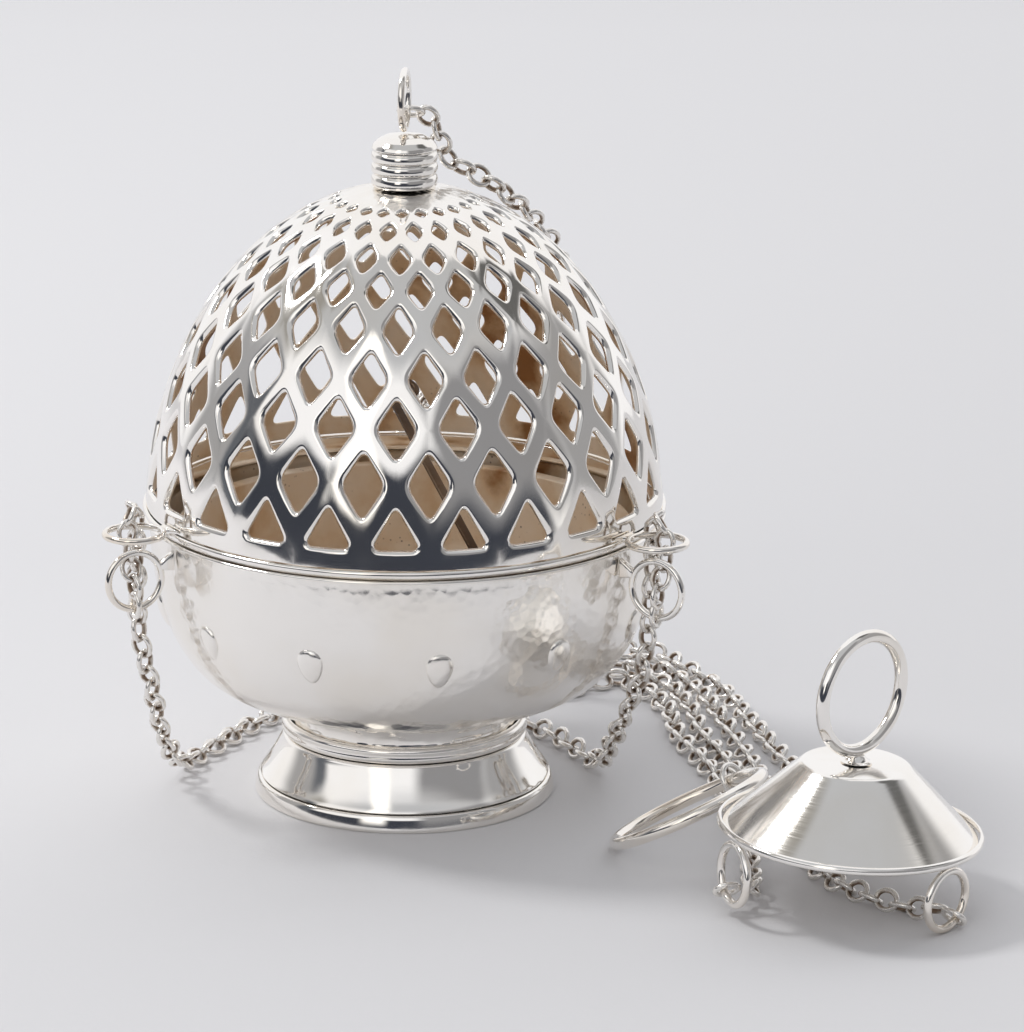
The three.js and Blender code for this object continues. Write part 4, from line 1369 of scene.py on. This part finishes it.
# Hand-piece
def make_hand_piece():
    plate = [(0, PLATE_HEIGHT), (PLATE_TOP_RADIUS - 0.9, PLATE_HEIGHT)]
    plate += [(PLATE_TOP_RADIUS, PLATE_HEIGHT - 0.6), (PLATE_RADIUS, 0.4), (PLATE_RADIUS, 0)]
    plate += [(PLATE_RADIUS - 1.4, 0), (PLATE_TOP_RADIUS - 1.4, PLATE_HEIGHT - 2)]
    plate.append((0, PLATE_HEIGHT - 1.4))
    turned_piece("hand_cone", plate, 200, turned_silver, "hand_piece", "hand_plate", 0.5)
    edge = []
    for k in range(12):
        turn = -pi / 2 + pi * k / 11
        edge.append((PLATE_RADIUS + END_GAP + 1.15 * cos(turn), 0.9 + 1.1 * sin(turn)))
    turned_piece("hand_cone_wire", edge, 200, polished, "hand_piece", "hand_plate_wire", 0.05)
    foot = PLATE_HEIGHT + END_GAP
    top = foot + 0.9
    seat = raised([(0, 0), (4.4, 0), (3.4, 0.25), (2.6, 0.9), (1.9, 1.9), (0, 1.9)], foot)
    name = "hand_ring_solder_seat"
    turned_piece(name, seat, 64, polished, "hand_piece", "hand_ring_seat", 0.5)
    middle = Vector((0, 0, top + END_GAP + HAND_RING_RADIUS + HAND_RING_WIRE))
    ring = wire_ring_parts(HAND_RING_RADIUS, HAND_RING_WIRE, 128, 24)
    ring = moved(ring, upright(middle, HAND_RING_TURN))
    make_piece("finger_ring", ring, polished, "hand_piece", "hand_ring")
    for side, (angle, link_side, pull) in EYES.items():
        middle = around(angle, EYE_REACH, -EYE_DROP - EYE_RADIUS - EYE_WIRE)
        eye = moved(wire_ring_parts(EYE_RADIUS, EYE_WIRE, 72, 16), upright(middle, angle))
        make_piece(f"cone_eye_{side}", eye, wire_silver, "hand_piece", f"hand_eye_{side}")
        hang = hanging_on(middle, around(angle + link_side, 1.0), EYE_RADIUS, low=50)
        hang += (around(angle, pull), EYE_WIRE)
        end_link_piece(f"cone_eye_link_{side}", *hang, "hand_piece", f"eye_link_{side}")


def make_lifting_ring():
    lay = Matrix.Translation(LIFT_MIDDLE)
    lay @= UP.rotation_difference(LIFT_NORMAL).to_matrix().to_4x4()
    ring = moved(wire_ring_parts(LIFT_RADIUS, LIFT_WIRE, 128, 24), lay)
    make_piece("lift_pull_ring", ring, wire_silver, "lift", "lifting_ring")
    out = (LIFT_OUT - LIFT_NORMAL * LIFT_OUT.dot(LIFT_NORMAL)).normalized()
    hang = (LIFT_MIDDLE + out * LIFT_RADIUS, LIFT_NORMAL.cross(out), out, LIFT_WIRE)
    end_link_piece("lift_jump_link", *hang, "lift", "lift_link", JUMP_RADIUS, stretch=1.0)


make_hand_piece()
make_lifting_ring()


# Floor, light and the surroundings that the silver mirrors
FLOOR_FRONT = 0.38  # metres of floor in front of the censer's axis
# The paper's colour is painted darker in front and lighter far back: a painted falloff of the light over the floor,
# not a change in the paper.
FLOOR_NEAR_SHADED = (0.785, 0.78, 0.795)
FLOOR_FAR_LIT = (0.92, 0.915, 0.93)


def make_floor():
    mesh = bpy.data.meshes.new("floor")
    near = axis_y - FLOOR_FRONT
    mesh.from_pydata([(-3, near, 0), (3, near, 0), (3, 4, 0), (-3, 4, 0)], [], [(0, 1, 2, 3)])
    paper = new_object("floor", mesh)
    look = new_look("floor_paper_painted_falloff", FLOOR_FAR_LIT, 0.0, 0.9)
    split = placed_node(look, "SeparateXYZ")
    # Painted shade: the paper darkens towards the front.
    depth = range_node(look, split, "Y", 0.0, 1.0, 0.25, 1.1)
    tone = ramp_node(look, depth, "Result", [(0.0, FLOOR_NEAR_SHADED), (1.0, FLOOR_FAR_LIT)])
    grain = noise_node(look, 700)
    finish_look(look, tone, None, bump_node(look, grain, "Fac", 0.00005))
    mesh.materials.append(look)
    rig.stage(paper)


def world_patch(world, direction, azimuth, elevation, half_width, half_height, soft):
    """1 inside a patch of sky and 0 outside. Angles in degrees: azimuth from -Y towards +X."""

    def along(way):
        return math_node(world, "DOT_PRODUCT", direction, way, kind="VectorMath").outputs["Value"]

    def inside(angle, half):
        size = math_node(world, "ABSOLUTE", angle.outputs["Value"])
        limits = (radians(half - soft), radians(half + soft))
        step = range_node(world, size, "Value", 1.0, 0.0, *limits)
        step.interpolation_type = "SMOOTHSTEP"
        return step.outputs["Result"]

    turn = radians(azimuth)
    ahead = along((sin(turn), -cos(turn), 0))
    aside = along((cos(turn), sin(turn), 0))
    side_angle = math_node(world, "ARCTAN2", aside, ahead)
    height = math_node(world, "ARCSINE", along(UP))
    rise = math_node(world, "SUBTRACT", height.outputs["Value"], radians(elevation))
    return math_node(world, "MULTIPLY", inside(side_angle, half_width), inside(rise, half_height))


# Parts of the studio as the silver sees them: (azimuth, elevation, half width, half height,
# softness, colour). Later ones lie over earlier ones.
STUDIO = (
    (0, 70, 110, 24, 8, (0.5, 0.51, 0.53)),
    (-9, -2, 75, 18, 4, (0.045, 0.05, 0.065)),
    (-100, 16, 18, 20, 8, (0.36, 0.36, 0.37)),
    (98, 16, 20, 22, 8, (0.34, 0.34, 0.35)),
    (-98, 50, 20, 14, 6, (0.3, 0.29, 0.27)),
    (46, 24, 34, 22, 8, (0.27, 0.27, 0.28)),
    (-24, 30, 9, 26, 4, (1.3, 1.28, 1.24)),
    (-84, 12, 6, 20, 4, (0.12, 0.13, 0.15)),
    (103, 50, 15, 13, 4, (0.13, 0.13, 0.13)),
)
SKY = (0.95, 0.95, 0.965, 1)
BACKDROP = (0.75, 0.745, 0.78, 1)  # the sky as the camera sees it


def make_world():
    world = bpy.data.worlds.new("studio")
    scene.world = world
    world.use_nodes = True
    direction = add_node(world, "TexCoord").outputs["Generated"]
    under = None
    for *patch, tone in STUDIO:
        mix = add_node(world, "MixRGB", Color1=SKY, Color2=(*tone, 1))
        connect(world, world_patch(world, direction, *patch), "Value", mix, "Fac")
        if under is not None:
            connect(world, under, "Color", mix, "Color1")
        under = mix
    mirrored = world.node_tree.nodes["Background"]
    connect(world, under, "Color", mirrored, "Color")
    either = add_node(world, "MixShader")
    connect(world, add_node(world, "LightPath"), "Is Camera Ray", either, "Fac")
    connect(world, mirrored, "Background", either, 1)
    connect(world, add_node(world, "Background", Color=BACKDROP), "Background", either, 2)
    connect(world, either, "Shader", world.node_tree.nodes["World Output"], "Surface")


def make_lamps():
    data = bpy.data.lights.new("soft_lamp", "AREA")
    data.shape = "DISK"
    data.size = 0.36
    data.energy = 8.0
    lamp = new_object("soft_lamp", data)
    lamp.location = (axis_x - 0.9, axis_y + 0.25, 1.25)
    aim = Vector((axis_x, axis_y, 0.08)) - lamp.location
    lamp.rotation_euler = aim.to_track_quat("-Z", "Y").to_euler()


make_floor()
make_world()
make_lamps()
scene.view_settings.view_transform = "Standard"

low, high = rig.bounds()
with open("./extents.json", "w") as size_file:
    sizes = {"cad": [list(cad_low), list(cad_high)], "visual": [list(low), list(high)]}
    json.dump(sizes, size_file)
